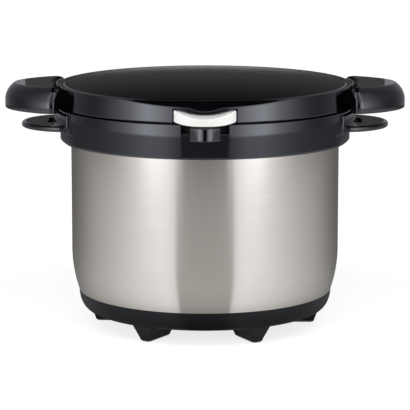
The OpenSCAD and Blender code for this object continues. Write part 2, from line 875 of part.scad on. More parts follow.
// Cylinder that hollows the lever's top, thinned by a gap
module lever_dip(gap = 0) {
    translate([0, -collar_r, lever_roof - lever_top_gap - dip_depth])
        rotate([dip_slope, 0, 0])
            translate([0, 0, dip_r])
                rotate([90, 0, 0])
                    cylinder(r = dip_r - gap, h = far / 4, center = true);
}

// Box about the latch pocket at the front of the lid, grown by a wall and reaching up to height z
module latch_box(grow, z) {
    half = lever_w / 2 + lever_end_gap + grow;
    translate([-half, -far, lid_z - 1])
        cube([2 * half, far + latch_wall_y + grow, z - lid_z + 1]);
}

// Pocket for the latch, whose roof follows the lever's top
module latch_pocket_space() {
    difference() {
        latch_box(0, lever_roof);
        lever_dip(lever_top_gap);
    }
}

// Notch for the hinge at the back of the lid, grown by its wall
module hinge_notch(grow = 0) {
    half = hinge_half_w + 1 + grow;
    translate([-half, hinge_wall_y - grow, lid_z - 1])
        cube([2 * half, far, hinge_z + knuckle_r + 3 * move_gap - lid_z + 1 + grow]);
}

// Thumb scoop: a round channel that slopes down over the lid's front edge
module thumb_scoop() {
    translate([0, -brow_y, rim_z])
        rotate([scoop_angle, 0, 0])
            translate([0, 0, scoop_r])
                rotate([90, 0, 0])
                    cylinder(r = scoop_r, h = 4 * scoop_r, center = true);
}

// Cone about a point behind the lid's middle, whose flank is the brow
module brow_cone() {
    drop = rim_z - lid_z + 1;
    translate([0, brow_r - brow_y, lid_z - 1])
        cylinder(r1 = brow_r + drop / tan(brow_angle), r2 = brow_r, h = drop, $fn = 192);
}

module lid_frame() {
    color([0.12, 0.12, 0.13])
        difference() {
            union() {
                difference() {
                    intersection() {
                        union() {
                            difference() {
                                lid_block();
                                lid_hollow();
                            }
                            intersection() {
                                lid_block();
                                union() {
                                    both_sides()
                                        ear_pocket(pocket_t);
                                    latch_box(pocket_t, rim_z);
                                    hinge_notch(pocket_t);
                                }
                            }
                            for (a = lid_screw_bearings)
                                rotate([0, 0, a])
                                    translate([lid_screw_pcr, 0, lid_z])
                                        cylinder(r = 4, h = lid_floor_t + 6);
                        }
                        brow_cone();
                    }
                    intersection() {
                        translate([0, 0, shelf_z])
                            cylinder(r = rim_in_r, h = far);
                        translate([0, brow_r - brow_y, 0])
                            cylinder(r = brow_r, h = far, $fn = 192);
                    }
                    both_sides()
                        ear_pocket();
                    latch_pocket_space();
                    hinge_notch();
                    thumb_scoop();
                }
                translate([0, hinge_y, hinge_z])
                    bar_x(knuckle_r, lid_knuckle_w);
                translate([-lid_knuckle_w / 2, hinge_wall_y - 1, hinge_z - 1])
                    cube([lid_knuckle_w, hinge_y - hinge_wall_y + 1, knuckle_r + 1]);
            }
            translate([0, hinge_y, hinge_z])
                bar_x(hinge_pin_r + pin_play, far);
            translate([0, latch_pin_y, latch_pin_z])
                bar_x(latch_pin_r + pin_play, lever_w + 2 * (lever_end_gap + pocket_t) + 2);
            for (a = lid_screw_bearings)
                rotate([0, 0, a])
                    translate([lid_screw_pcr, 0, lid_z - 1])
                        cylinder(r = screw_r + pin_play, h = lid_floor_t + 6);
            both_sides()
                for (y = [-ear_screw_gap / 2, ear_screw_gap / 2])
                    translate([pocket_x - pocket_t - 1, y, ear_screw_z()])
                        rotate([0, 90, 0])
                            cylinder(r = screw_r + seat_gap, h = pocket_t + 2);
        }
}

module lid_panel() {
    color([0.16, 0.16, 0.165])
        intersection() {
            rotate_extrude()
                polygon(concat(
                    [for (i = [12:-1:0]) dome(shelf_r, shelf_z, dome_rise, shelf_r)[i]],
                    [[panel_r, shelf_z], [panel_r, rim_z]],
                    dome(panel_r, rim_z, dome_rise, panel_r)));
            translate([0, brow_r - brow_y, 0])
                cylinder(r = brow_r - seat_gap, h = far, $fn = 192);
        }
}

module lid_core() {
    top = shelf_z - 0.6;
    color("white")
        difference() {
            rotate_extrude()
                polygon(concat(
                    [[0, plate_z + seat_gap], [core_r - 0.6, plate_z + seat_gap], [core_r - 0.6, plate_top + 1], [core_r, plate_top + 1]],
                    dome(shelf_r, top, dome_rise * 0.8, core_r)));
            latch_box(pocket_t + 1, far);
        }
}

module lid_plate() {
    color([0.2, 0.2, 0.21])
        difference() {
            rotate_extrude()
                polygon([[0, plate_mid_z], [plug_r - plug_w, plate_mid_z], [plug_r - plug_w, plate_mid_z - plug_depth],
                    [plug_r, plate_mid_z - plug_depth], [plug_r, plate_z], [plate_r, plate_z], [plate_r, plate_top],
                    [core_r, plate_top], [core_r, plate_z], [0, plate_z]]);
            for (a = lid_screw_bearings)
                rotate([0, 0, a])
                    translate([lid_screw_pcr, 0, plate_z - 1])
                        cylinder(r = screw_r + seat_gap, h = far);
        }
}

module lid_seal() {
    color("gray")
        ring(plate_r - lid_seal_w, plate_r - 0.2, lip_top + move_gap, plate_z - lip_top - move_gap);
}

module lid_screws() {
    color("dimgray")
        for (a = lid_screw_bearings)
            rotate([0, 0, a])
                translate([lid_screw_pcr, 0, plate_z])
                    rotate([180, 0, 0])
                        screw(plate_t + lid_floor_t + 4);
}

// Height and shank length of the ear screws
function ear_screw_z() = lid_z + 1.4 + neck_h / 2;
function ear_screw_len() = pocket_t + 10;

// Round block with the ear's side: a small lower edge, an upright wall that bows in, and a tight upper edge
module ear_round(r) {
    bow_x = r - ear_bow_r;
    bow_z = ear_h - ear_bow_r * sin(ear_bow_angle) - ear_edge_r * (1 - sin(ear_bow_angle));
    edge_set = ear_bow_r - ear_edge_r;
    rotate_extrude()
        polygon(concat(
            [[0, 0]],
            arc(r - ear_low_edge_r, ear_low_edge_r, ear_low_edge_r, -90, 0, 5),
            arc(bow_x, bow_z, ear_bow_r, 0, ear_bow_angle),
            arc(bow_x + edge_set * cos(ear_bow_angle), bow_z + edge_set * sin(ear_bow_angle), ear_edge_r,
                (ear_bow_angle + 90) / 2, 90, 1),
            [[0, ear_h]]));
}

// One upper ear on the +X side: the overlap of two side circles and a tip circle, on a neck that bears on the pocket's wall
module ear() {
    side_y = sqrt(pow(ear_side_r, 2) - pow(ear_side_set, 2)) - ear_w / 2;
    difference() {
        union() {
            difference() {
                intersection() {
                    translate([collar_r - ear_side_set, side_y, ear_z])
                        ear_round(ear_side_r);
                    translate([collar_r - ear_side_set, -side_y, ear_z])
                        ear_round(ear_side_r);
                    translate([collar_r + ear_out - ear_tip_r, 0, ear_z])
                        ear_round(ear_tip_r);
                }
                cylinder(r = collar_r + ear_gap, h = far);
            }
            translate([pocket_x + seat_gap, -neck_w / 2, lid_z + 1.4])
                cube([pocket_depth + neck_out, neck_w, neck_h]);
        }
        for (y = [-ear_screw_gap / 2, ear_screw_gap / 2])
            translate([pocket_x - 1, y, ear_screw_z()])
                rotate([0, 90, 0])
                    cylinder(r = screw_r + pin_play, h = ear_screw_len());
    }
}

module ear_right() {
    color([0.13, 0.13, 0.14])
        ear();
}

module ear_left() {
    color([0.13, 0.13, 0.14])
        rotate([0, 0, 180])
            ear();
}

module ear_screws() {
    color("dimgray")
        both_sides()
            for (y = [-ear_screw_gap / 2, ear_screw_gap / 2])
                translate([pocket_x - pocket_t, y, ear_screw_z()])
                    rotate([0, -90, 0])
                        screw(ear_screw_len() - 1);
}

module latch_pin() {
    color("silver")
        translate([0, latch_pin_y, latch_pin_z])
            bar_x(latch_pin_r, lever_w + 2 * (lever_end_gap + pocket_t) - 1);
}

module latch_spring() {
    color("silver")
        translate([0, latch_pin_y, latch_pin_z])
            difference() {
                bar_x(latch_pin_r + 1.7, 12);
                bar_x(latch_pin_r + 0.4, 14);
            }
}

module latch_lever() {
    front_x = lever_w / 2;
    top = lever_roof - lever_top_gap;
    color("white")
        difference() {
            union() {
                intersection() {
                    translate([0, lever_front + lever_round, lever_low])
                        cylinder(r = lever_round, h = top - lever_low);
                    union() {
                        translate([-front_x, -far, lever_low])
                            cube([lever_w, far + lever_lip_back, top - lever_low]);
                        translate([-front_x, -far, lid_z + 0.5])
                            cube([lever_w, far + lever_back, top - lid_z - 0.5]);
                    }
                }
                for (s = [-1, 1]) {
                    translate([s * arm_span / 2, latch_pin_y, latch_pin_z])
                        bar_x(hub_r, arm_w);
                    translate([s * arm_span / 2 - arm_w / 2, lever_back - 1, latch_pin_z - hub_r + 1])
                        cube([arm_w, latch_pin_y - lever_back + 1, 2 * hub_r - 2]);
                }
            }
            lever_dip();
            translate([0, latch_pin_y, latch_pin_z])
                bar_x(latch_pin_r + pin_play, far);
            translate([-hook_w / 2 - seat_gap, hook_back - hook_t - seat_gap, 0])
                cube([hook_w + 2 * seat_gap, hook_t + 2 * seat_gap, hook_top() + seat_gap]);
        }
}

// Top of the sheet hook, inside the lever
function hook_top() = lever_roof - lever_top_gap - dip_depth - 1.2;

module latch_hook() {
    color("silver")
        translate([-hook_w / 2, hook_back - hook_t, hook_low])
            cube([hook_w, hook_t, hook_top() - hook_low]);
}

outer_shell();
vacuum_liner();
vacuum_port_cap();
base_cover();
feet();
base_nuts();
base_screws();
mouth_seal();
collar();
grip_left();
grip_right();
grip_screws();
latch_catch();
catch_screws();
hinge_bracket();
bracket_screws();
hinge_pin();
pot_body();
pot_base();
pot_loop_brackets();
pot_loops();
pot_rivets();
cover_glass();
cover_band();
cover_knob();
knob_screw();
lid_frame();
lid_panel();
lid_core();
lid_plate();
lid_seal();
lid_screws();
ear_left();
ear_right();
ear_screws();
latch_pin();
latch_spring();
latch_lever();
latch_hook();
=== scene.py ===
# %% [markdown]
# # A thermal cooker, dressed for the camera
# A thermal cooker is a steel vacuum container with a covered pot inside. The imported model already
# holds every piece in its place, in metres, with the front towards -Y. This script keeps that frame,
# lays smooth surfaces over the pieces that show, gives each finish its own material, and sets up a
# small studio. Each step says what the piece is on the real cooker and why it is made the way it is.

# %% Load the frame
import json
import math
import bmesh
import bpy
import numpy as np
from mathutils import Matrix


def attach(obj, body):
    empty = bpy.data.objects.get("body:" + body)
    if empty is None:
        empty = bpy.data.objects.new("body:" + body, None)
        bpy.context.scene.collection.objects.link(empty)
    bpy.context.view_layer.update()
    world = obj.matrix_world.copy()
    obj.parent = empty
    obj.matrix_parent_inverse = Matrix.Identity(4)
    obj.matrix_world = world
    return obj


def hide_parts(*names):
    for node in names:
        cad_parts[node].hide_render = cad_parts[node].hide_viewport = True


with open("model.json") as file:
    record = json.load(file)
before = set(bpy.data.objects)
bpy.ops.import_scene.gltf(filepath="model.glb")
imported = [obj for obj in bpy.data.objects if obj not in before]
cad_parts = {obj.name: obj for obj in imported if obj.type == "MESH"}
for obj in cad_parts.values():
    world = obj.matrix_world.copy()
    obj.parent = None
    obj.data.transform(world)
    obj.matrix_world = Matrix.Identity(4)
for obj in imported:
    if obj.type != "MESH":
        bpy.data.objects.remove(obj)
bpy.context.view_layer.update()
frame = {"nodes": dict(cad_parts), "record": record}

# %% [markdown]
# ## Camera
# The photograph was taken with a long lens from about two metres, looking down by ten degrees. A
# camera fitted to the ellipses of rim, collar and base gives these numbers, so nothing is shifted.

# %% Camera
FOCAL, SENSOR, SIGHT = 200.07, 36.0, 200.0  # lens and sensor in millimetres, sight in metres
EYE, TILT = (0.0, -1.9733, 0.4601), 79.771  # metres, and degrees up from straight down
lens = bpy.data.cameras.new("studio_camera")
lens.lens, lens.sensor_width, lens.clip_end = FOCAL, SENSOR, SIGHT
camera = bpy.data.objects.new("studio_camera", lens)
camera.location = EYE
camera.rotation_euler = (math.radians(TILT), 0.0, 0.0)
bpy.context.scene.collection.objects.link(camera)
bpy.context.scene.camera = camera
print("camera:", lens.lens, "mm at", tuple(camera.location))

# %% [markdown]
# ## Skins
# Every new piece is a skin: a grid of points whose rows are closed sections. A section can be turned
# about the axis, carried round it or pushed along a line. Blender's own primitives would need many
# cuts to get there; a formula per section gives the whole piece at once, in millimetres.

# %% Skins and how they are joined
MM = 0.001


def loft(loops, around=False):
    """Skin over closed sections: point j of section i is joined to its neighbours in i and j. The
    last section joins the first when around is true; otherwise both ends get a flat cap."""
    rows, cols = loops.shape[:2]
    i = np.arange(rows if around else rows - 1)[:, None]
    j, k = np.arange(cols), np.arange(1, cols + 1) % cols
    here, there = i * cols, (i + 1) % rows * cols
    corners = np.stack([here + j, here + k, there + k, there + j], -1).ravel()
    sizes = np.full(len(i) * cols, 4)
    if not around:
        corners = np.concatenate([corners, np.arange(cols), (rows - 1) * cols + np.arange(cols)])
        sizes = np.concatenate([sizes, [cols, cols]])
    return loops.reshape(-1, 3), corners, sizes


def join(*skins):
    """Several skins as one: the point numbers of each are moved up by the points before it."""
    starts = np.cumsum([0] + [len(points) for points, _, _ in skins[:-1]])
    return (np.concatenate([points for points, _, _ in skins]),
            np.concatenate([corners + start for (_, corners, _), start in zip(skins, starts)]),
            np.concatenate([sizes for _, _, sizes in skins]))


def turn(skin, degrees):
    """The skin turned about the axis: x' = x cos a - y sin a, y' = x sin a + y cos a."""
    a = math.radians(degrees)
    spin = np.array([[math.cos(a), math.sin(a), 0], [-math.sin(a), math.cos(a), 0], [0, 0, 1]])
    return skin[0] @ spin, skin[1], skin[2]


print("skins: loft, join, turn")

# %% [markdown]
# Mouldings and pressings have no knife edges, so a section is given by its corners, each with the
# length by which it is eased. The same few functions then serve every piece: what differs is the
# section and the way it goes.

# %% Sections
FLAT_SHARE, MOST_SHARE, TINY = 1.33, 0.49, 1e-9  # shares of a cut and of a side, and the least length


def ease(before, corner, after, cut, n=5):
    """Rounds a corner with a quadratic curve that leaves one side cut before the corner, joins the
    other cut after it, and has the corner as its handle. A point on either side, a third further out,
    keeps the light on the flat faces beside it even."""
    def along(side, reach):
        way = side - corner
        length = np.linalg.norm(way, axis=-1, keepdims=True)
        step = way * np.minimum(reach, MOST_SHARE * length) / np.maximum(length, TINY)
        return (corner + step)[..., None, :]
    t = np.linspace(0, 1, n)[:, None]
    curve = ((1 - t) ** 2 * along(before, cut) + 2 * t * (1 - t) * corner[..., None, :]
             + t ** 2 * along(after, cut))
    return np.concatenate([along(before, FLAT_SHARE * cut), curve, along(after, FLAT_SHARE * cut)], -2)


def section(n, *corners):
    """A closed section from corners of (a, b, cut), each eased by its cut with n points. Where a or b
    is an array, there is one section for each of its values."""
    size = np.broadcast_shapes(*(np.shape(value) for a, b, _ in corners for value in (a, b)))
    points = np.stack([np.stack([np.broadcast_to(a, size), np.broadcast_to(b, size)], -1)
                       for a, b, _ in corners], -2).astype(float)
    cuts = np.broadcast_to(np.array([cut for _, _, cut in corners], float), points.shape[:-1])[..., None]
    eased = ease(np.roll(points, 1, -2), points, np.roll(points, -1, -2), cuts, n)
    return eased.reshape(*points.shape[:-2], -1, 2)


def block(n, near, away, low, high, cuts):
    """A closed section with four corners, from near to away and from low to high."""
    return section(n, *zip((near, away, away, near), (low, low, high, high), cuts))


def arc(x, z, r, a, b, n):
    """Points on a circle of radius r about (x, z), from bearing a to bearing b in degrees."""
    t = np.radians(np.linspace(a, b, n))
    return np.stack([x + r * np.cos(t), z + r * np.sin(t)], -1)


def smooth(value, start, end):
    """Goes from 0 at start to 1 at end along 3 s^2 - 2 s^3, with no kink at either."""
    s = np.clip((value - start) / (end - start), 0, 1)
    return s * s * (3 - 2 * s)


def end_round(left, radius):
    """How far a section shrinks where it is left millimetres from its end, for an end of that radius."""
    return radius - np.sqrt(radius ** 2 - np.clip(radius - left, 0, radius) ** 2)


print("sections: ease, section, block, arc, smooth, end_round")

# %% Ways that a section goes


def turned(profile, n=240):
    """A closed (radius, height) section carried once round: x = r sin a, y = -r cos a, z = h."""
    a = np.linspace(0, 2 * np.pi, n, endpoint=False)[:, None]
    r, h = np.asarray(profile, float).T
    return loft(np.stack([r * np.sin(a), -r * np.cos(a), h + 0 * a], -1), around=True)


def stacked(plans, levels):
    """Closed (x, y) plans, one for each level, stacked upwards with flat ends."""
    z = np.broadcast_to(np.asarray(levels, float)[:, None, None], plans.shape[:2] + (1,))
    return loft(np.concatenate([plans, z], -1))


def pushed(rows, x):
    """Closed (y, z) sections, one for each x, pushed along X with flat ends."""
    x = np.broadcast_to(np.asarray(x, float)[:, None], rows.shape[:2])
    return loft(np.concatenate([x[..., None], rows], -1))


def bar(row, start, end):
    """One closed (y, z) section pushed along X from start to end."""
    return pushed(np.broadcast_to(row, (2,) + row.shape), [start, end])


def eased_bar(row, middle, centre, half):
    """One closed (y, z) section pushed along X by half to either side of centre. Over its last 0.6 mm
    it shrinks towards middle by up to 8 %, which eases the edges of the ends."""
    reach = np.array([half, half - 0.2, half - 0.6])
    shrink = np.array([0.08, 0.02, 0.0])
    x, shrink = np.concatenate([-reach, reach[::-1]]), np.concatenate([shrink, shrink[::-1]])
    return pushed(row + (np.array(middle) - row) * shrink[:, None, None], centre + x)


print("ways: turned, stacked, pushed, bar, eased_bar")

# %% [markdown]
# A finished skin becomes an object at the origin. Points that fall together at poles and notches are
# merged, the faces are turned outwards, and edges sharper than a fillet stay crisp.

# %% Put a piece on its body
CRISP, TOGETHER = 38, 2e-6  # degrees, and metres within which points are one


def put(name, skin, body, slot, *nodes):
    """Makes the mesh object of a skin, lets it ride on its body and stand for its CAD nodes."""
    points, corners, sizes = skin
    mesh = bpy.data.meshes.new(name)
    mesh.vertices.add(len(points))
    mesh.vertices.foreach_set("co", (points * MM).astype(np.float32).ravel())
    mesh.loops.add(len(corners))
    mesh.loops.foreach_set("vertex_index", corners.astype(np.int32))
    mesh.polygons.add(len(sizes))
    mesh.polygons.foreach_set("loop_start", (np.cumsum(sizes) - sizes).astype(np.int32))
    mesh.update(calc_edges=True)
    shape = bmesh.new()
    shape.from_mesh(mesh)
    bmesh.ops.remove_doubles(shape, verts=shape.verts, dist=TOGETHER)
    bmesh.ops.recalc_face_normals(shape, faces=shape.faces)
    open_edges = sum(1 for edge in shape.edges if len(edge.link_faces) == 1)
    shape.to_mesh(mesh)
    shape.free()
    mesh.polygons.foreach_set("use_smooth", np.ones(len(mesh.polygons), bool))
    mesh.set_sharp_from_angle(angle=math.radians(CRISP))
    mesh.materials.append(finishes[slot])
    piece = bpy.data.objects.new(name, mesh)
    bpy.context.scene.collection.objects.link(piece)
    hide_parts(*nodes)
    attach(piece, body)
    print(f"{name}: {len(mesh.polygons)} faces, {open_edges} open edges, for {', '.join(nodes)}")
    return piece


def paint_pocket_shade(piece, hidden):
    """Paints shade on the faces for which hidden(x, y, z, normals) holds, in millimetres: they get a dull
    flat black as a second material, which stands in for the shadow deep in the pockets and the notch."""
    faces = piece.data.polygons
    centre, normal = np.empty(3 * len(faces)), np.empty(3 * len(faces))
    faces.foreach_get("center", centre)
    faces.foreach_get("normal", normal)
    shaded = hidden(*(centre.reshape(-1, 3) / MM).T, normal.reshape(-1, 3))
    piece.data.materials.append(pocket_shade_black)
    faces.foreach_set("material_index", shaded.astype(np.int32))
    print(f"{piece.name}: {int(shaded.sum())} faces left raw")


print("pieces: edges over", CRISP, "degrees stay crisp")

# %% [markdown]
# ## Finishes
# A material starts from what the maker used. One function turns a hex colour to linear light and one
# adds a node; a third lays a noise of a given size in millimetres over colour, roughness and relief,
# which is what mould texture, brush lines and wear have in common.

# %% Colours and nodes


def linear(code):
    """An sRGB hex colour as linear light, with full alpha."""
    c = np.array([int(code[i:i + 2], 16) for i in (1, 3, 5)]) / 255
    return (*np.where(c <= 0.04045, c / 12.92, ((c + 0.055) / 1.055) ** 2.4).tolist(), 1.0)


def add(tree, kind, inputs=None, **settings):
    """Adds one node with its settings; an input that is a socket is linked, any other is set."""
    made = tree.nodes.new(kind)
    for key, value in settings.items():
        setattr(made, key, value)
    for key, value in (inputs or {}).items():
        if isinstance(value, bpy.types.NodeSocket):
            tree.links.new(value, made.inputs[key])
        else:
            made.inputs[key].default_value = value
    return made


def new_material(name):
    """An empty material and its tree."""
    material = bpy.data.materials.new(name)
    material.use_nodes = True
    material.node_tree.nodes.clear()
    return material, material.node_tree


print("linear light of mid grey:", linear("#808080")[0])

# %% A finish
NOISE_RANGE = {"From Min": 0.3, "From Max": 0.7}  # where nearly all of the noise lies


def finish(name, dark, light, grain, rough, relief=0.0, stretch=(1, 1, 1), **sockets):
    """A finish whose colour runs from dark to light and whose roughness runs over its pair as one
    noise of grain millimetres does; relief is the depth of that noise in millimetres. The other
    names are sockets of the shader, with spaces written as underscores."""
    material, tree = new_material(name)
    place = add(tree, "ShaderNodeTexCoord").outputs["Object"]
    place = add(tree, "ShaderNodeMapping", {"Vector": place, "Scale": stretch}).outputs["Vector"]
    noise = add(tree, "ShaderNodeTexNoise", {
        "Vector": place, "Scale": 1 / (grain * MM), "Detail": 3.0, "Roughness": 0.6}).outputs["Fac"]
    spread = add(tree, "ShaderNodeMapRange", {"Value": noise, **NOISE_RANGE})
    tone = add(tree, "ShaderNodeMix", {0: spread.outputs["Result"], 6: linear(dark), 7: linear(light)},
               data_type="RGBA")
    gloss = add(tree, "ShaderNodeMapRange", {
        "Value": noise, **NOISE_RANGE, "To Min": rough[0], "To Max": rough[1]})
    shader = add(tree, "ShaderNodeBsdfPrincipled", {
        "Base Color": tone.outputs[2], "Roughness": gloss.outputs["Result"]})
    if relief:
        bump = add(tree, "ShaderNodeBump", {"Height": noise, "Strength": 1.0, "Distance": relief * MM})
        tree.links.new(bump.outputs["Normal"], shader.inputs["Normal"])
    for key, value in sockets.items():
        shader.inputs[key.replace("_", " ")].default_value = value
    add(tree, "ShaderNodeOutputMaterial", {"Surface": shader.outputs["BSDF"]})
    return material


print("noise used from", NOISE_RANGE["From Min"], "to", NOISE_RANGE["From Max"])

# %% [markdown]
# ### Metals
# The container is stainless sheet, brushed round while it spun, so its fine grooves run level and
# every reflection is drawn out upwards and downwards. An anisotropic shader with a tangent round the
# axis does that. Real brush lines are about 0.1 mm apart; they are drawn 0.9 mm apart, and faintly,
# because finer ones would not show. The pot is polished, the inner wall only satin, and the screws
# are bright zinc.

# %% Metals
ROUND = (0.012, 0.012, 1.0)  # stretches a grain along the circle
BRUSHED = {"Metallic": 1.0, "Anisotropic_Rotation": 0.25}
metals = {  # name, dark, light, grain in mm, roughness, relief in mm
    # spun brushing: soft bright columns, sharp from side to side
    "shell_steel": finish(
        "brushed_stainless_sheet", "#b8b2a8", "#bbb5ab", 0.9, (0.165, 0.175), 0.0003, ROUND,
        Anisotropic=0.7, **BRUSHED),
    # a drawn wall, only wiped: a duller, wider sheen
    "inner_steel": finish(
        "satin_stainless_wall", "#c3c2bf", "#d0cfcc", 0.9, (0.22, 0.3), 0.001, ROUND,
        Anisotropic=0.6, **BRUSHED),
    # buffed after drawing: nearly a mirror, with slow clouds left by the wheel
    "pot_steel": finish("polished_stainless_pot", "#c9c8c5", "#d3d2cf", 30, (0.07, 0.13), Metallic=1.0),
    # barrel plating: bright but slightly grainy
    "fastener_steel": finish(
        "zinc_plated_steel", "#b4b4b2", "#c4c4c2", 1.5, (0.2, 0.32), 0.004, Metallic=1.0),
    # face-ground: an even, cool grey
    "spread_base": finish(
        "ground_aluminium_base", "#b9babc", "#c8c9cb", 1.2, (0.3, 0.42), 0.004, ROUND, Metallic=1.0)}
for slot in ("shell_steel", "inner_steel"):
    tree = metals[slot].node_tree
    level = add(tree, "ShaderNodeTangent", direction_type="RADIAL", axis="Z")
    tree.links.new(level.outputs["Tangent"], tree.nodes["Principled BSDF"].inputs["Tangent"])
print("metals:", ", ".join(metal.name for metal in metals.values()))

# %% [markdown]
# ### Plastics, rubber, glass
# Collar, grips, ears and lid frame come from a polished mould: black ABS with a very slightly uneven
# gloss. The top panel has a fine satin grain, the base a coarser matte one. The latch is white ABS.
# Each grain is a real size: 0.5 mm spark texture on the panel, 1 mm on the base, 20 to 30 mm for the
# slow waviness that a polished moulding keeps.

# %% Plastics, rubber, glass
mouldings = {  # name, dark, light, grain in mm, roughness, relief in mm
    # polished mould: clear, slightly wavy reflections
    "gloss_black": finish("polished_black_abs", "#060608", "#08080b", 22, (0.015, 0.03), 0.001, IOR=1.6),
    # spark-eroded mould: a soft sheen
    "satin_black": finish("satin_black_abs", "#050505", "#090909", 0.5, (0.16, 0.22), 0.003, IOR=1.5),
    # textured mould: almost no sheen
    "matte_black": finish(
        "matte_black_polypropylene", "#050506", "#09090a", 1.0, (0.36, 0.44), 0.015, IOR=1.49,
        Specular_IOR_Level=0.2),
    # pressed rubber: dull and a little uneven
    "foot_black": finish("black_foot_rubber", "#0a0a0b", "#131314", 1.4, (0.58, 0.72), 0.04, IOR=1.5),
    # polished mould, warm white: small soft highlights
    "white_gloss": finish("polished_white_abs", "#f6f2e5", "#f9f5e9", 20, (0.14, 0.2), 0.002, IOR=1.54),
    # cast seal: waxy and grey
    "seal_grey": finish("grey_silicone", "#7d7e80", "#88898b", 2.0, (0.45, 0.55), 0.01, IOR=1.41),
    # moulded plate with a fine grain: dark and even
    "plate_grey": finish("dark_grey_polypropylene", "#2a2b2d", "#323336", 0.8, (0.38, 0.48), 0.012, IOR=1.49),
    # hard pressed resin: black with a soft shine
    "knob_black": finish("black_phenolic", "#111112", "#19191a", 1.2, (0.28, 0.38), 0.006, IOR=1.6),
    # pressed and tempered: clear, faintly green
    "clear_glass": finish(
        "clear_tempered_glass", "#f2f8f6", "#fbfdfc", 30, (0.0, 0.015), IOR=1.51, Transmission_Weight=1.0),
    # foamed in place: coarse and chalky
    "foam": finish("rigid_white_foam", "#ded9c9", "#efebdf", 2.5, (0.82, 0.92), 0.5, IOR=1.45)}
# inside faces of the same mouldings, in pockets and the notch: a dull flat black, painted shade for the dark
# that falls there
pocket_shade_black = finish(
    "painted_pocket_shade_black", "#040405", "#070708", 1.0, (0.6, 0.7), 0.01, IOR=1.54, Specular_IOR_Level=0.2)
finishes = {**metals, **mouldings}
print("finishes:", len(finishes))

# %% [markdown]
# ## Steel shell
# The shell is a drawn cylinder of 0.8 mm sheet, 234 mm across, that curves in over its lowest 36 mm
# and steps in where the base cover grips it. It is turned from its section; a lathe is the natural
# tool for anything spun.

# %% Steel shell
SHELL_R, SHEET, MOUTH_Z = 117.0, 0.8, 184.2  # radius, thickness and upper edge
STEEL_LOW, CURVE_TOP, CURVE_R = 31.5, 68.0, 113.0  # ends and radius of the curve
HELD_R, FLOOR_R, FLOOR_Z, BEND = 107.44, 103.0, 22.0, 4.4  # wall in the base cover, bottom, bevel
height = np.linspace(STEEL_LOW, CURVE_TOP, 41)
wall_r = SHELL_R - CURVE_R + np.sqrt(CURVE_R ** 2 - (CURVE_TOP - height) ** 2)
outside = np.stack([wall_r, height], -1)
inside = outside[::-1] - [SHEET, 0]
inside[-1] += [0, SHEET]
held_in, floor_in = HELD_R - SHEET, FLOOR_Z + SHEET
shell = np.concatenate([
    [[0, FLOOR_Z], [FLOOR_R, FLOOR_Z], [HELD_R, FLOOR_Z + BEND], [HELD_R, STEEL_LOW]], outside,
    [[SHELL_R, MOUTH_Z], [SHELL_R - SHEET, MOUTH_Z]], inside,
    [[held_in, STEEL_LOW + SHEET], [held_in, FLOOR_Z + BEND + 0.4],
     [FLOOR_R - 0.3, floor_in], [0, floor_in]]])
put("steel_shell", turned(shell, 288), "container", "shell_steel", "outer_shell")

# %% [markdown]
# ## Base cover and feet
# The base cover is a shallow black dish whose side rises in a quarter ellipse to meet the steel. Six
# feet stand under it, each a small block that narrows towards the floor. A foot is a stack of eased
# rectangles: the half length and half width are functions of height.

# %% Base cover
FLAT_R, BASE_IN, BASE_Z, BASE_TOP, BASE_T = 100.94, 10.0, 14.5, 31.4, 2.5
GRASP_R, GRASP_Z, BEVEL = HELD_R + 0.3, 25.9, 5.0  # inner wall round the steel, and its bevel
q = np.radians(np.linspace(0, 90, 25))
side = np.stack([FLAT_R + BASE_IN * np.sin(q), BASE_TOP - (BASE_TOP - BASE_Z) * np.cos(q)], -1)
cover = np.concatenate([
    [[0, BASE_Z], [FLAT_R - 4, BASE_Z]], side,
    [[GRASP_R, BASE_TOP], [GRASP_R, GRASP_Z], [GRASP_R - BEVEL, GRASP_Z - BEVEL],
     [96.9, BASE_Z + BASE_T], [0, BASE_Z + BASE_T]]])
put("base_dish", turned(cover), "container", "matte_black", "base_cover")

# %% Feet
FOOT_ROUND, FOOT_TOP, FOOT_LEAN_H = 3.0, 14.9, 11.5  # edge at the floor, top, height of the lean
FOOT_NEAR, FOOT_AWAY, FOOT_HALF = 66, 94, 2.5  # flat face on the floor
LEAN_NEAR, LEAN_AWAY, LEAN_SIDE = 7, 4, 5  # how much wider the top is
FOOT_TURN = -62.2  # degrees to the first foot
t = np.radians(np.linspace(0, 90, 7))
rise = np.concatenate([FOOT_ROUND * (1 - np.cos(t)), np.linspace(FOOT_ROUND, FOOT_TOP, 8)[1:]])
lean = np.maximum(rise - FOOT_ROUND, 0) / FOOT_LEAN_H
roll = np.concatenate([FOOT_ROUND * np.sin(t), np.full(7, FOOT_ROUND)])
near = FOOT_NEAR - roll - LEAN_NEAR * lean
away = FOOT_AWAY + roll + LEAN_AWAY * lean
half = FOOT_HALF + roll + LEAN_SIDE * lean
foot = stacked(block(6, near, away, -half, half, [2.6] * 4), rise)
ring = join(*(turn(foot, FOOT_TURN + 60 * i) for i in range(6)))
put("feet_ring", ring, "container", "foot_black", "feet")

# %% [markdown]
# ## Collar
# The collar is one black moulding that hides the container's mouth: an outer wall with a small eased
# lower edge, a flat top and a lower seat for the lid. Under the grips, at both sides, the wall steps
# in a little. At the front a notch lets the latch hook through. The section is carried round the
# axis; in the notch the same points simply sit lower, so the notch needs no cutting. Columns near the
# front keep the same X at every radius, so the notch's sides stay parallel.

# %% Columns round the axis
COLLAR_R, COLLAR_Z, COLLAR_TOP = 128.8, 164.5, 193.5
QUARTER, FULL = np.pi / 2, 2 * np.pi
STRAIGHT_TO, RADIAL_FROM = math.radians(17), math.radians(40)


def bearings(*runs):
    """Bearings from the front for runs of (name, from, to, count) and the name at each; a bearing
    that ends one run and starts the next comes twice, which makes the step between them."""
    return (np.concatenate([np.linspace(a, b, n) for _, a, b, n in runs]),
            np.concatenate([np.full(n, name) for name, _, _, n in runs]))


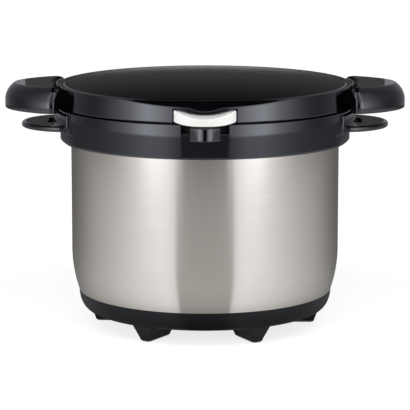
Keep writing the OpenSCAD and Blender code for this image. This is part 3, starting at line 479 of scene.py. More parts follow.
def plan_xy(r, phi):
    """Point at radius r on bearing phi. Near the front X is the same at every radius, further round
    the column is a radius, and between 17 and 40 degrees one passes smoothly into the other."""
    off = np.abs((phi + np.pi) % FULL - np.pi)
    straight = smooth(off, RADIAL_FROM, STRAIGHT_TO)
    x = np.sin(phi) * (straight * COLLAR_R + (1 - straight) * r)
    return x, -np.sign(np.cos(phi)) * np.sqrt(np.maximum(r * r - x * x, 0))


def carried(rows, phi):
    """Closed (radius, height) sections, one for each bearing, carried round the axis."""
    x, y = plan_xy(rows[..., 0], phi[:, None])
    return loft(np.stack([x, y, rows[..., 1]], -1), around=True)


print("columns: straight within 17 degrees of the front, radial past 40")

# %% Collar
NOTCH_HALF, NOTCH_Z = 20.0, 186.0
STEP_Z, STEP_IN = 174.6, 2.5  # the wall's step under the grips
CLEAR_R, WEB_Z = SHELL_R + 0.1, 167.3  # lower web, round the steel
SEAT_R, SEAT_Z, SEAT_LOW, LIP_R = 118.3, 190.0, 187.0, 108.4  # the lid's seat and its inner lip
ROOM_IN, ROOM_OUT, ROOM_TOP = 121.3, 126.0, 190.5  # hollow of the wall
LEDGE_OUT, LEDGE_IN, LEDGE_NOTCH = 124.0, 123.5, 122.6  # where the top steps, and the same in the notch
notch = math.asin(NOTCH_HALF / COLLAR_R)
phi, run = bearings(("notch", -notch, notch, 41), ("wall", notch, FULL - notch, 300))
cut = run == "notch"
top, room_top = np.where(cut, NOTCH_Z, COLLAR_TOP), np.where(cut, NOTCH_Z - 1.0, ROOM_TOP)
drawn_in = STEP_IN * smooth(np.abs(np.sin(phi)), 0.86, 0.98)
rows = section(
    6, (CLEAR_R, COLLAR_Z, 0.3), (COLLAR_R - drawn_in, COLLAR_Z, 1.3), (COLLAR_R - drawn_in, STEP_Z, 0.2),
    (COLLAR_R, STEP_Z + 0.3, 0.3), (COLLAR_R, top, 0.7), (np.where(cut, LEDGE_NOTCH, LEDGE_OUT), top, 0.0),
    (np.where(cut, LEDGE_NOTCH, LEDGE_IN), COLLAR_TOP, 0.4), (SEAT_R, COLLAR_TOP, 0.5), (SEAT_R, SEAT_Z, 0.2),
    (LIP_R, SEAT_Z, 0.6), (LIP_R, SEAT_LOW, 0.4), (ROOM_IN, SEAT_LOW, 0.0), (ROOM_IN, room_top, 0.0),
    (ROOM_OUT, room_top, 0.0), (ROOM_OUT - 0.7 * drawn_in, WEB_Z, 1.2), (CLEAR_R, WEB_Z, 0.0))
collar = put("mouth_collar", carried(rows, phi), "container", "gloss_black", "collar")
# painted shade: the faces inside the latch notch get the dull black that stands in for their shadow
paint_pocket_shade(collar, lambda x, y, z, n: (
    (np.abs(x) < NOTCH_HALF + 0.2) & (y < 0) & (np.hypot(x, y) < COLLAR_R - 0.5) & (z > NOTCH_Z - 2)))

# %% [markdown]
# ## Lower grips
# Under each ear a thin grip stands out from the collar, with a finger slot behind it. Its section is
# a flat plate with a full-round outer edge, carried along the half circle of the outline; the inner
# end of each section follows the slot. Two pads join it to the collar's wall: they follow its curve,
# and their ends are cut square to Y.

# %% Lower grip
GRIP_MID, GRIP_X, GRIP_R, GRIP_HALF = 177.0, 118.0, 42.0, 2.5
SLOT_X, SLOT_OUT, SLOT_Y, SLOT_R = 126.8, 132.3, 10.5, 4.5  # the slot's ends and its corners
a = np.radians(np.linspace(-86, 86, 81))
outer = np.stack([GRIP_X + GRIP_R * np.cos(a), GRIP_R * np.sin(a)], -1)
slot_line = np.concatenate([
    [[SLOT_X, -SLOT_Y - SLOT_R]], arc(SLOT_OUT, -SLOT_Y, SLOT_R, -90, 0, 9),
    arc(SLOT_OUT, SLOT_Y, SLOT_R, 0, 90, 9), [[SLOT_X, SLOT_Y + SLOT_R]]])
way = np.concatenate([[0], np.cumsum(np.linalg.norm(np.diff(slot_line, axis=0), axis=1))])
share = np.linspace(0, way[-1], len(a))
inner = np.stack([np.interp(share, way, slot_line[:, 0]), np.interp(share, way, slot_line[:, 1])], -1)
width = np.linalg.norm(outer - inner, axis=1)
plate = block(7, 0, width, -GRIP_HALF, GRIP_HALF, (0.9, 2.6, 2.6, 0.9))
spot = inner[:, None] + (outer - inner)[:, None] * (plate[..., :1] / width[:, None, None])
grip = loft(np.concatenate([spot, GRIP_MID + plate[..., 1:]], -1))
print("grip:", len(plate), "sections, widest", width.max(), "mm")

# %% Pads of the grip
PAD_NEAR, PAD_FAR, PAD_END = 14.6, 58.0, 0.8  # ends along Y, and their rounding
PAD_IN, PAD_OUT, PAD_LOW, PAD_TOP = 128.2, 131.4, 175.1, 191.0
t = np.radians(np.linspace(0, 90, 6))
pads = []
for low, high in ((-PAD_FAR, -PAD_NEAR), (PAD_NEAR, PAD_FAR)):
    y = np.concatenate([low + PAD_END - PAD_END * np.cos(t), np.linspace(low + 2, high - 2, 25),
                        high - PAD_END + PAD_END * np.sin(t)])
    trim = end_round(np.minimum(y - low, high - y), PAD_END)
    pad = block(5, PAD_IN, PAD_OUT - trim, PAD_LOW + trim, PAD_TOP - trim, (0.2, 0.9, 0.9, 0.2))
    x = np.sqrt(pad[..., 0] ** 2 - y[:, None] ** 2)
    pads.append(loft(np.stack([x, np.broadcast_to(y[:, None], x.shape), pad[..., 1]], -1)))
grip = join(grip, *pads)
put("lower_grip_right", grip, "container", "gloss_black", "grip_right")
put("lower_grip_left", turn(grip, 180), "container", "gloss_black", "grip_left")

# %% [markdown]
# ## Lid frame
# The frame is the black ring that carries everything on the lid. Its wall leans in a little, its rim
# holds the top panel, and its front slopes down outside a wide arc, the brow, with a thumb scoop in
# the middle. Pockets for the latch, the ears and the hinge open downwards. Every height is a function
# of the place in plan, so one section carried round the axis holds all of them: brow and scoop lower
# the section's top, and a pocket lifts its bottom.

# %% Heights of the lid's front
LID_Z, RIM_Z, LEAN = 195.1, 212.6, 1.2  # lower edge, rim, and how far the wall leans in
BROW_R, BROW_Y, BROW_FALL = 195.0, 119.3, math.radians(31)
SCOOP_R, SCOOP_FALL = 60.0, math.radians(43)
HOLLOW_R, HOLLOW_Z, HOLLOW_FALL, HOLLOW_TOP = 70.0, 200.7, math.radians(13), 205.3
FRONT_HALF = 59  # half width within which the hollows are worked out


def lower(a, b, soft):
    """The lower of two heights, with the crease between them rounded over soft millimetres."""
    return np.minimum(a, b) - np.maximum(soft - np.abs(a - b), 0) ** 2 / (4 * soft)


def past_brow(x, y):
    """How far a place lies outside the brow line, a circle about a point behind the axis."""
    return np.hypot(x, y - (BROW_R - BROW_Y)) - BROW_R


def lid_top(x, y):
    """Height of the lid frame's top: the flat rim, a slope of 31 degrees outside the brow line, and a
    round scoop of radius 60 that falls by 43 degrees towards the front."""
    brow = RIM_Z - past_brow(x, y) * math.tan(BROW_FALL)
    round_x = SCOOP_R - np.sqrt(SCOOP_R ** 2 - np.clip(x, -FRONT_HALF, FRONT_HALF) ** 2)
    scoop = RIM_Z + (y + BROW_Y) * math.tan(SCOOP_FALL) + round_x / math.cos(SCOOP_FALL)
    scoop = np.where(y < 0, scoop, 999.0)
    return lower(lower(RIM_Z, brow, 0.5), scoop, 0.9)


def lever_top(x, y, lift=0.0):
    """Height of the latch lever's top: a hollow of radius 70 that slopes by 13 degrees, cut off level
    at its ends. The pocket's roof follows it with a gap of lift."""
    round_x = HOLLOW_R - np.sqrt((HOLLOW_R - lift) ** 2 - np.clip(x, -FRONT_HALF, FRONT_HALF) ** 2)
    hollow = HOLLOW_Z + (y + COLLAR_R) * math.tan(HOLLOW_FALL) + round_x / math.cos(HOLLOW_FALL)
    return np.minimum(hollow, HOLLOW_TOP + lift)


def brow_radius(phi):
    """Radius on bearing phi at which the brow line is met, found by halving a bracket."""
    low, high = np.full_like(phi, 100.0), np.full_like(phi, 300.0)
    for _ in range(40):
        mid = (low + high) / 2
        beyond = past_brow(*plan_xy(mid, phi)) > 0
        low, high = np.where(beyond, low, mid), np.where(beyond, mid, high)
    return low


print("lid top at the scoop:", lid_top(0.0, -127.0), "and at the rim:", lid_top(110.0, 60.0))

# %% Pockets of the lid
latch_half, ear_half, hinge_half = (math.asin(half / COLLAR_R) for half in (26.75, 64.3, 28.0))
LATCH_BACK, LATCH_MID, EAR_BACK, HINGE_BACK = 107.0, 113.0, 110.6, 124.7  # back walls
LATCH_GAP, EAR_ROOF, HINGE_ROOF = 1.0, 209.0, 205.1  # roofs
LID_IN, LID_IN_LATCH, LID_T = 107.4, 104.5, 1.4  # inner edge, the same by the latch, wall
right, left = QUARTER, FULL - QUARTER
phi, run = bearings(
    ("latch", -latch_half, latch_half, 97), ("wall", latch_half, right - ear_half, 90),
    ("ear", right - ear_half, right + ear_half, 61), ("wall", right + ear_half, np.pi - hinge_half, 60),
    ("hinge", np.pi - hinge_half, np.pi + hinge_half, 25), ("wall", np.pi + hinge_half, left - ear_half, 60),
    ("ear", left - ear_half, left + ear_half, 61), ("wall", left + ear_half, FULL - latch_half, 90))
kinds = [run == "latch", run == "ear", run == "hinge"]
front_x = COLLAR_R * np.sin(phi)
inner_r = np.where(np.cos(phi) > 0.9, np.minimum(LID_IN, np.hypot(front_x, LID_IN_LATCH)), LID_IN)
back_r = np.select(kinds, [
    np.hypot(front_x, LATCH_BACK), EAR_BACK / np.maximum(np.abs(np.sin(phi)), 0.1),
    HINGE_BACK / np.maximum(np.abs(np.cos(phi)), 0.1)], COLLAR_R - LID_T)
mid_r = np.select(kinds[:1], [np.hypot(front_x, LATCH_MID)], (back_r + COLLAR_R - LID_T / 2) / 2)
roofs = []
for r in (back_r, mid_r, np.full_like(phi, COLLAR_R - LEAN / 2)):
    over_lever = lever_top(*plan_xy(r, phi), LATCH_GAP)
    roofs.append(np.select(kinds, [over_lever, EAR_ROOF + 0 * phi, HINGE_ROOF + 0 * phi], LID_Z))
print("pockets:", [int(kind.sum()) for kind in kinds], "of", len(phi), "columns")

# %% Crown of the lid
EDGE_CUT, RIM_CUT, HEM_CUT, PANEL_SEAT, RIM_R = 0.9, 0.35, 0.7, 210.3, 123.8


def wall_radius(z):
    """Radius of the lid's outer wall, which leans in by 1.2 mm over its height."""
    return COLLAR_R - LEAN * (z - LID_Z) / (RIM_Z - LID_Z)


def at(r, z):
    """One corner of every section of the lid."""
    return np.stack(np.broadcast_arrays(r + 0 * phi, z + 0 * phi), -1)


top_r = np.full_like(phi, COLLAR_R - 1.1)
for _ in range(5):
    top_z = lid_top(*plan_xy(top_r, phi))
    top_r = wall_radius(top_z)
rim_r = lower(RIM_R, brow_radius(phi), 0.6)
crown_w = (top_r - EDGE_CUT - rim_r - RIM_CUT)[:, None]
crown_r = top_r[:, None] - EDGE_CUT - crown_w * np.linspace(0, 1, 14)
crown = np.stack([crown_r, lid_top(*plan_xy(crown_r, phi[:, None]))], -1)
hem, edge = at(wall_radius(roofs[2]), roofs[2]), at(top_r, top_z)
rim, shelf = at(rim_r, crown[:, -1, 1]), at(rim_r, PANEL_SEAT)
rows = np.concatenate([
    np.stack([at(inner_r, LID_Z), at(back_r, LID_Z), at(back_r, roofs[0]), at(mid_r, roofs[1])], 1),
    ease(at(mid_r, roofs[1]), hem, edge, HEM_CUT, 6),
    ease(hem, edge, crown[:, 0], EDGE_CUT, 6)[:, :-1], crown,
    ease(crown[:, -1], rim, shelf, RIM_CUT, 5)[:, 1:],
    np.stack([shelf, at(inner_r, PANEL_SEAT)], 1)], 1)
print("crown:", crown_r.min(), "to", crown_r.max(), "mm from the axis")

# %% Lid frame with its hinge knuckle
HINGE_Y, HINGE_Z, KNUCKLE_R = 130.5, 198.9, 5.0
knuckle = np.concatenate([
    [[123.7, 197.9]], arc(HINGE_Y, HINGE_Z, KNUCKLE_R, -168.5, 90, 41), [[123.7, HINGE_Z + KNUCKLE_R]]])
barrel = eased_bar(knuckle, (130.0, 199.5), 0.0, 14.0)
lid_ring = put("lid_ring", join(carried(rows, phi), barrel), "lid", "gloss_black", "lid_frame")
# painted shade: the frame's inside faces, in its pockets and under it, get the dull black that stands in for
# their shadow
paint_pocket_shade(lid_ring, lambda x, y, z, n: (np.hypot(x, y) < COLLAR_R - 1.6) & (n[:, 2] < 0.2))

# %% [markdown]
# ## Top panel
# A satin panel, slightly domed, lies in the frame; a hair-wide groove separates the two. Its height
# is a parabola over the radius, and its outline is the rim's circle, cut in front by the brow line. A
# grid of rings shrunk from that outline gives the dome, and the same rings close it underneath.

# %% Top panel
PANEL_R, PANEL_GAP, PANEL_LOW, DOME = RIM_R - 0.2, 0.2, PANEL_SEAT + 0.1, 5.0
LIP_IN, LIP_DOWN = 0.7, 0.6  # the rounding of its edge


def dome(r):
    """Height of the panel's top: 5 mm above the rim at the axis, falling with the square of r."""
    return RIM_Z + DOME * (1 - (r / (RIM_R - 0.1)) ** 2)


phi = np.linspace(0, FULL, 361)[:-1]
edge_r = lower(PANEL_R, brow_radius(phi) - PANEL_GAP, 0.6)
share = np.concatenate([[0], np.linspace(0.04, 0.98, 30), 1 - np.array([3.0, 2.0, 1.2]) / PANEL_R])
face_r = edge_r[:, None] * share
face = np.stack([face_r, dome(face_r)], -1)
t = np.radians([0, 30, 60, 90])
lip_z = dome(edge_r)[:, None] - 0.15 - LIP_DOWN * (1 - np.cos(t))
lip = np.stack([edge_r[:, None] - LIP_IN * (1 - np.sin(t)), lip_z], -1)
under = np.stack([at(edge_r, PANEL_LOW), at(0, PANEL_LOW)], 1)
rows = np.concatenate([face, lip, under], 1)
x, y = rows[..., 0] * np.sin(phi)[:, None], -rows[..., 0] * np.cos(phi)[:, None]
panel = loft(np.stack([x, y, rows[..., 1]], -1), around=True)
put("top_panel", panel, "lid", "satin_black", "lid_panel")

# %% [markdown]
# ## Ears
# The lid's two ears are thick oval handles that stand clear of the collar. In plan an ear is a tip arc
# with a side arc that touches it at either end; inside, it follows the lid's own circle, and a fillet
# that touches side and circle rounds the corner. Its wall bows in towards a tight upper edge. Each
# level of the ear is that outline drawn a little smaller, and the levels are stacked.

# %% Plan of an ear
TIP_X, TIP_R, SIDE_X, SIDE_Y, SIDE_R, EAR_GAP_R = 129.3, 45.0, 108.1, 15.9, 71.5, 131.6


def ear_plan(inset, inner_inset, fillet):
    """Outline of an ear, one for each inset: the tip arc, the side arc, the fillet whose centre is one
    fillet inside the side and one outside the lid's clearance circle, that circle, and so back."""
    side, gap = SIDE_R - inset, EAR_GAP_R + inner_inset
    d = math.hypot(SIDE_X, SIDE_Y)
    along = ((gap + fillet) ** 2 - (side - fillet) ** 2 + d * d) / (2 * d)
    up = np.sqrt((gap + fillet) ** 2 - along ** 2)
    fx, fy = (along * SIDE_X + up * SIDE_Y) / d, (up * SIDE_X - along * SIDE_Y) / d
    join_a = math.atan2(SIDE_Y, TIP_X - SIDE_X)
    far_a, near_a = np.arctan2(fy + SIDE_Y, fx - SIDE_X), np.arctan2(fy, fx)
    none = 0 * inset
    arcs = []
    for radius, mx, my, a, b, n in (
            (TIP_R - inset, TIP_X, 0.0, -join_a, join_a, 25), (side, SIDE_X, -SIDE_Y, join_a, far_a, 33),
            (fillet, fx, fy, far_a, near_a + np.pi, 17), (gap, 0.0, 0.0, near_a, -near_a, 33),
            (fillet, fx, -fy, np.pi - near_a, FULL - far_a, 17), (side, SIDE_X, SIDE_Y, -far_a, -join_a, 33)):
        a, b = (none + a)[:, None], (none + b)[:, None]
        t = a + (b - a) * np.linspace(0, 1, n)
        arcs.append(np.stack([(none + mx)[:, None] + radius[:, None] * np.cos(t),
                              (none + my)[:, None] + radius[:, None] * np.sin(t)], -1))
    return np.concatenate(arcs, 1)


print("ear: tip", TIP_X + TIP_R, "mm from the axis")

# %% Ears
EAR_LOW, LOW_ROUND, LOW_ROUND_IN = 191.5, 1.6, 1.2  # underside and its rounding, outside and inside
BOW_Z, BOW_R, BOW_TO, EDGE_R = 198.2, 17.8, 56, 2.0  # bow of the wall, and the upper edge
EAR_TOP, BACK_IN = 213.3, 2.4  # flat top, and how far the back leans in
NECK_HALF, NECK_OUT, NECK_LOW, NECK_TOP = 16, 133.0, 194.3, 207.5
q = np.radians(np.linspace(0, 90, 7))
bow = np.radians(np.linspace(0, BOW_TO, 15))
edge = np.radians(np.linspace(BOW_TO, 90, 7))[1:]
turn_in, turn_up = (BOW_R - EDGE_R) * math.cos(bow[-1]), (BOW_R - EDGE_R) * math.sin(bow[-1])
inset = np.concatenate([
    LOW_ROUND - LOW_ROUND * np.sin(q), BOW_R - BOW_R * np.cos(bow),
    BOW_R - turn_in - EDGE_R * np.cos(edge), [10.0, 14.0, 19.0]])
level = np.concatenate([
    EAR_LOW + LOW_ROUND - LOW_ROUND * np.cos(q), BOW_Z + BOW_R * np.sin(bow),
    BOW_Z + turn_up + EDGE_R * np.sin(edge), np.full(3, EAR_TOP)])
inner_inset = np.concatenate([
    LOW_ROUND_IN - LOW_ROUND_IN * np.sin(q), np.zeros(10), BACK_IN * np.linspace(0, 1, 5) ** 2,
    BACK_IN + BACK_IN / 2 * np.sin(3 * (edge - bow[-1])), [4.4, 7.0, 10.0]])
lobe = stacked(ear_plan(inset, inner_inset, np.maximum(7.2 - 0.5 * inset, 1.8)), level)
neck = bar(block(5, -NECK_HALF, NECK_HALF, NECK_LOW, NECK_TOP, [1.5] * 4), EAR_BACK + 0.1, NECK_OUT)
ear = join(lobe, neck)
for name, degrees, node in (("ear_handle_right", 0, "ear_right"), ("ear_handle_left", 180, "ear_left")):
    handle = put(name, turn(ear, degrees), "lid", "gloss_black", node)
    # painted shade: the neck between ear and lid gets the dull black that stands in for its shadow
    paint_pocket_shade(handle, lambda x, y, z, n: (np.abs(x) < NECK_OUT - 0.5) & (np.abs(y) < NECK_HALF + 0.1))

# %% [markdown]
# ## Latch
# The white lever sits in its pocket at the front: a bowed front face, a hollow top for the thumb and a
# lip that hangs over the catch. Its section changes along X, so it is pushed along X with a section
# for each place; near both ends the section shrinks a little, which rounds the ends. Two arms at the
# back hold it on its pin. Below it the catch, a small block, sits on the collar; its rounded nose leans
# back a little in the middle, so that it mirrors the silk.

# %% Latch lever
LEVER_HALF, LEVER_END, LEVER_FRONT, LEVER_BACK, LEVER_BOW = 25.6, 0.9, -135.5, -120.0, 46.0
LEVER_LOW, LEVER_RISE, LEVER_UNDER, LIP_Y = 193.0, 3.3, 196.4, -129.2  # lower edge, underside, lip
PIN_Y, PIN_Z, ARM_R, ARM_X, ARM_HALF = -113.0, 201.3, 4.0, 17.0, 3.0
x = LEVER_HALF * np.sin(np.radians(np.linspace(-90, 90, 91)))
shrink = end_round(LEVER_HALF - np.abs(x), LEVER_END)
front = LEVER_FRONT + LEVER_BOW - np.sqrt(LEVER_BOW ** 2 - x ** 2) + shrink
back = LEVER_BACK - shrink
lip_y = np.maximum(LIP_Y, front + 0.3)
low = LEVER_LOW + LEVER_RISE * np.abs(x / LEVER_HALF) ** 3.5 + shrink
rows = section(
    7, (front, low, 0.6), (front, lever_top(x, front) - shrink, 1.1),
    (back, lever_top(x, back) - shrink, 0.5), (back, LEVER_UNDER + shrink, 0.5),
    (lip_y, LEVER_UNDER + shrink, 0.1), (lip_y, low, 0.1))
arm = np.concatenate([
    [[-121.0, PIN_Z - 3.0]], arc(PIN_Y, PIN_Z, ARM_R, -131, 131, 33), [[-121.0, PIN_Z + 3.0]]])
arms = [bar(arm, side - ARM_HALF, side + ARM_HALF) for side in (-ARM_X, ARM_X)]
put("latch_thumb_lever", join(pushed(rows, x), *arms), "latch", "white_gloss", "latch_lever")

# %% Catch
CATCH_HALF, CATCH_END, CATCH_LOW, CATCH_TOP = 12.85, 0.7, 180.1, 191.03
CATCH_FRONT, CATCH_SLOPE, CATCH_NOSE, NOSE_OUT = -134.5, 0.8, 7.0, 0.4
x = CATCH_HALF * np.sin(np.radians(np.linspace(-90, 90, 61)))
shrink = end_round(CATCH_HALF - np.abs(x), CATCH_END)
front = CATCH_FRONT + CATCH_SLOPE * (np.sqrt(x ** 2 + CATCH_NOSE ** 2) - CATCH_NOSE) + shrink
nose = front - NOSE_OUT * smooth(np.abs(x), 7.5, 5.5)
wall = -np.sqrt((COLLAR_R - 0.1) ** 2 - x ** 2)
rows = section(6, (nose, CATCH_LOW + shrink, 0.9), (front, CATCH_TOP - shrink, 0.6),
               (wall, CATCH_TOP - shrink, 0.1), (wall, CATCH_LOW + shrink, 0.1))
put("catch_block", pushed(rows, x), "container", "gloss_black", "latch_catch")

# %% Latch spring
COIL_R, COIL_HALF, TURNS, WIRE_R = 2.55, 6, 9, 0.5
t = np.linspace(0, 1, 385)
round_a = 2 * np.pi * TURNS * t
coil = np.stack([-COIL_HALF + 2 * COIL_HALF * t, PIN_Y + COIL_R * np.cos(round_a),
                 PIN_Z + COIL_R * np.sin(round_a)], -1)
ahead = np.gradient(coil, axis=0)
ahead /= np.linalg.norm(ahead, axis=1, keepdims=True)
out = (coil - [0, PIN_Y, PIN_Z]) * [0, 1, 1] / COIL_R
over = np.cross(ahead, out)
s = np.linspace(0, 2 * np.pi, 9)[:-1, None]
wire = coil[:, None] + WIRE_R * (np.cos(s) * out[:, None] + np.sin(s) * over[:, None])
put("latch_coil_spring", loft(wire), "lid", "fastener_steel", "latch_spring")

# %% [markdown]
# ## Hinge bracket
# At the back a bracket is screwed to the collar. It has a plate that follows the collar's curve and
# two knuckles for the hinge pin; the lid's own knuckle turns between them.

# %% Hinge bracket
PLATE_BACK, PLATE_LOW, PLATE_TOP = 134.5, 174.0, 193.1
EYE_X, EYE_HALF, EYE_LOW = 20.7, 6.3, 192.6
end_x, end_trim = np.array([27.0, 26.8, 26.3]), np.array([0.7, 0.2, 0.0])
x = np.concatenate([-end_x, np.linspace(-25, 25, 21), end_x[::-1]])
trim = np.concatenate([end_trim, np.zeros(21), end_trim[::-1]])
wall = np.sqrt((COLLAR_R - 0.1) ** 2 - x ** 2)
plate = block(6, wall, PLATE_BACK - trim, PLATE_LOW + trim, PLATE_TOP - trim, (0.1, 2.2, 0.6, 0.1))
eye = np.concatenate([[[129.5, EYE_LOW], [PLATE_BACK, EYE_LOW]],
                      arc(HINGE_Y, HINGE_Z, KNUCKLE_R, -36.87, 258.46, 49)])
eyes = [eased_bar(eye, (131.0, 197.5), side, EYE_HALF) for side in (-EYE_X, EYE_X)]
bracket = join(pushed(plate, x), *eyes)
put("hinge_bracket_plate", bracket, "container", "gloss_black", "hinge_bracket")

# %% [markdown]
# ## Inside
# With the lid up, the inner wall, the pot and its glass cover show, and under the lid the inner plate
# with its plug ring and seal. All of them are turned from their sections, with the edges eased as a
# press or a mould leaves them.

# %% Inner wall and pot
LINER_R, LINER_BEND, LINER_Z = 108.2, 14.0, 30.8  # outer radius, bottom corner and bottom
POT_R, POT_BEND, POT_Z, POT_T = 101.4, 10.0, 36.6, 1.0
FLANGE_Z = MOUTH_Z + SHEET
bend_r, bend_z = LINER_R - LINER_BEND, LINER_Z + LINER_BEND
liner = np.concatenate([
    [[0, LINER_Z]], arc(bend_r, bend_z, LINER_BEND, -90, 0, 17),
    [[LINER_R, 183.6], [109.0, MOUTH_Z], [SHELL_R, MOUTH_Z], [SHELL_R, FLANGE_Z],
     [108.6, FLANGE_Z], [107.7, 184.6], [LINER_R - SHEET, 184.0]],
    arc(bend_r, bend_z, LINER_BEND - SHEET, 0, -90, 17), [[0, LINER_Z + SHEET]]])
put("inner_wall", turned(liner), "container", "inner_steel", "vacuum_liner")
bend_r, bend_z = POT_R - POT_BEND, POT_Z + POT_BEND
pot = np.concatenate([
    [[0, POT_Z]], arc(bend_r, bend_z, POT_BEND, -90, 0, 15), [[POT_R, 163.9]],
    arc(POT_R + 1.0, 166.0, 2.0, -120, 180, 25),
    arc(bend_r, bend_z, POT_BEND - POT_T, 0, -90, 15), [[0, POT_Z + POT_T]]])
put("cooking_pot", turned(pot), "container", "pot_steel", "pot_body")

# %% Glass cover
PANE_R, PANE_EDGE, PANE_Z = 98.8, 103.7, 169.0  # end of its curve, edge and height
PANE_T, PANE_RISE = 4.2, 4.2
BAND_R, BAND_Z, BAND_TOP, BAND_T = 104.6, 168.1, 174.1, 0.8
r = np.linspace(0, PANE_R, 25)
curve = PANE_Z + PANE_RISE * (1 - (r / PANE_R) ** 2)
pane = np.concatenate([
    [[PANE_EDGE, PANE_Z], [PANE_EDGE, PANE_Z + PANE_T]],
    np.stack([r, curve + PANE_T], -1)[::-1], np.stack([r, curve], -1)])
put("cover_pane", turned(pane), "container", "clear_glass", "cover_glass")
band = section(
    5, (PANE_R, BAND_Z, 0.3), (BAND_R, BAND_Z, 0.9), (BAND_R, BAND_TOP, 1.2), (PANE_R + 1, BAND_TOP, 0.3),
    (PANE_R + 1, BAND_TOP - BAND_T, 0.1), (BAND_R - BAND_T, BAND_TOP - BAND_T, 0.3),
    (BAND_R - BAND_T, BAND_Z + BAND_T, 0.3), (PANE_R, BAND_Z + BAND_T, 0.1))
put("cover_rim_band", turned(band), "container", "pot_steel", "cover_band")
knob = section(
    5, (0, 177.5, 0), (10.0, 177.5, 0.4), (8.5, 179.9, 2.0), (15.2, 185.3, 1.0), (17.0, 186.0, 0.8),
    (17.0, 188.8, 0.8), (15.0, 189.8, 0.8), (12.5, 189.8, 0.4), (11.5, 189.2, 0.4), (0, 189.2, 0))
put("cover_knob_turned", turned(knob, 120), "container", "knob_black", "cover_knob")

# %% Lid plate and seals
UNDER_Z, UNDER_T, PLUG_IN, PLUG_OUT, PLUG_Z = 191.0, 2.0, 103.4, 106.4, 183.0  # plate and plug ring
flange_z = UNDER_Z + UNDER_T
under_lid = section(
    5, (0, UNDER_Z, 0), (PLUG_IN, UNDER_Z, 1.2), (PLUG_IN, PLUG_Z, 0.8), (PLUG_OUT, PLUG_Z, 0.8),
    (PLUG_OUT, flange_z, 0.3), (116.5, flange_z, 0.6), (116.5, flange_z + UNDER_T, 0.3),
    (103.9, flange_z + UNDER_T, 0.1), (103.9, flange_z, 0.1), (0, flange_z, 0))
put("lid_inner_plate", turned(under_lid), "lid", "plate_grey", "lid_plate")
lid_gasket = block(6, 112.9, 116.3, 190.4, flange_z, (1.2, 1.2, 0.2, 0.2))
put("lid_gasket", turned(lid_gasket), "lid", "seal_grey", "lid_seal")
mouth_gasket = block(6, 108.9, 115.5, FLANGE_Z, SEAT_LOW, (0.7, 0.2, 0.2, 0.7))
put("mouth_gasket", turned(mouth_gasket), "container", "seal_grey", "mouth_seal")

# %% [markdown]
# ## Pieces that keep their CAD shape
# Screws, pins, rivets, wire loops and the hidden core are right as they were modelled. They only get
# their finish, taken from the record's own list of slots.

# %% Finishes of the CAD nodes
slot_of = {part["node"]: part["material_slot"] for part in frame["record"]["subparts"]}
kept = [name for name, node in sorted(frame["nodes"].items()) if not node.hide_render]
for name in kept:
    mesh = frame["nodes"][name].data
    mesh.materials.clear()
    mesh.materials.append(finishes[slot_of[name]])
print("CAD pieces kept:", ", ".join(kept))

# %% [markdown]
# ## Studio
# The cooker stands on white paper inside a dome of thin silk that is lit from both sides of the camera:
# brightest 45 degrees off, dark straight ahead, where the lens looks through, and dim all the way round
# to the back. Higher up the silk is softer and more even. That is what the black mouldings show from
# their middle outwards. The steel looks lower, at the table top before the dome. Paper and table share
# one place, so the table is a glowing plate that only mirrors see: a painted reflection of the silk at
# under half its light, with the cooker's own shadow painted into it. The paper's white is partly its
# own, more so further away, and partly lamp light, so the shadow stays.

# %% Stage pieces


def stage_piece(name, points, faces, material, **seen_by):
    """A piece of the stage, in metres; seen_by turns its visibility for kinds of rays off."""
    mesh = bpy.data.meshes.new(name)
    mesh.from_pydata(points, [], faces)
    mesh.materials.append(material)
    piece = bpy.data.objects.new(name, mesh)
    for kind, on in seen_by.items():
        setattr(piece, "visible_" + kind, on)
    bpy.context.scene.collection.objects.link(piece)
    print(f"{name}: {len(faces)} faces of {material.name}")


def dome_grid(profile, degrees):
    """Points and faces of a profile of (radius, height) carried over the bearings."""
    a = np.radians(degrees)
    r, z = np.asarray(profile, float).T
    points = np.stack([np.outer(np.sin(a), r), -np.outer(np.cos(a), r),
                       np.broadcast_to(z, (len(a), len(r)))], -1)
    i = np.arange((len(a) - 1) * len(r)).reshape(-1, len(r))[:, :-1].ravel()
    return points.reshape(-1, 3).tolist(), np.stack([i, i + 1, i + len(r) + 1, i + len(r)], -1).tolist()


print("stage: stage_piece, dome_grid")

# %% Light by bearing
GATHER_Y = -0.06  # half a radius in front of the axis, in metres
UP_FROM, UP_TO = 0.2, 0.5  # heights between which the silk softens, in metres
TINT = np.array([0.13, 0.1, 0.0])  # what lamps behind silk lose of red, green and blue


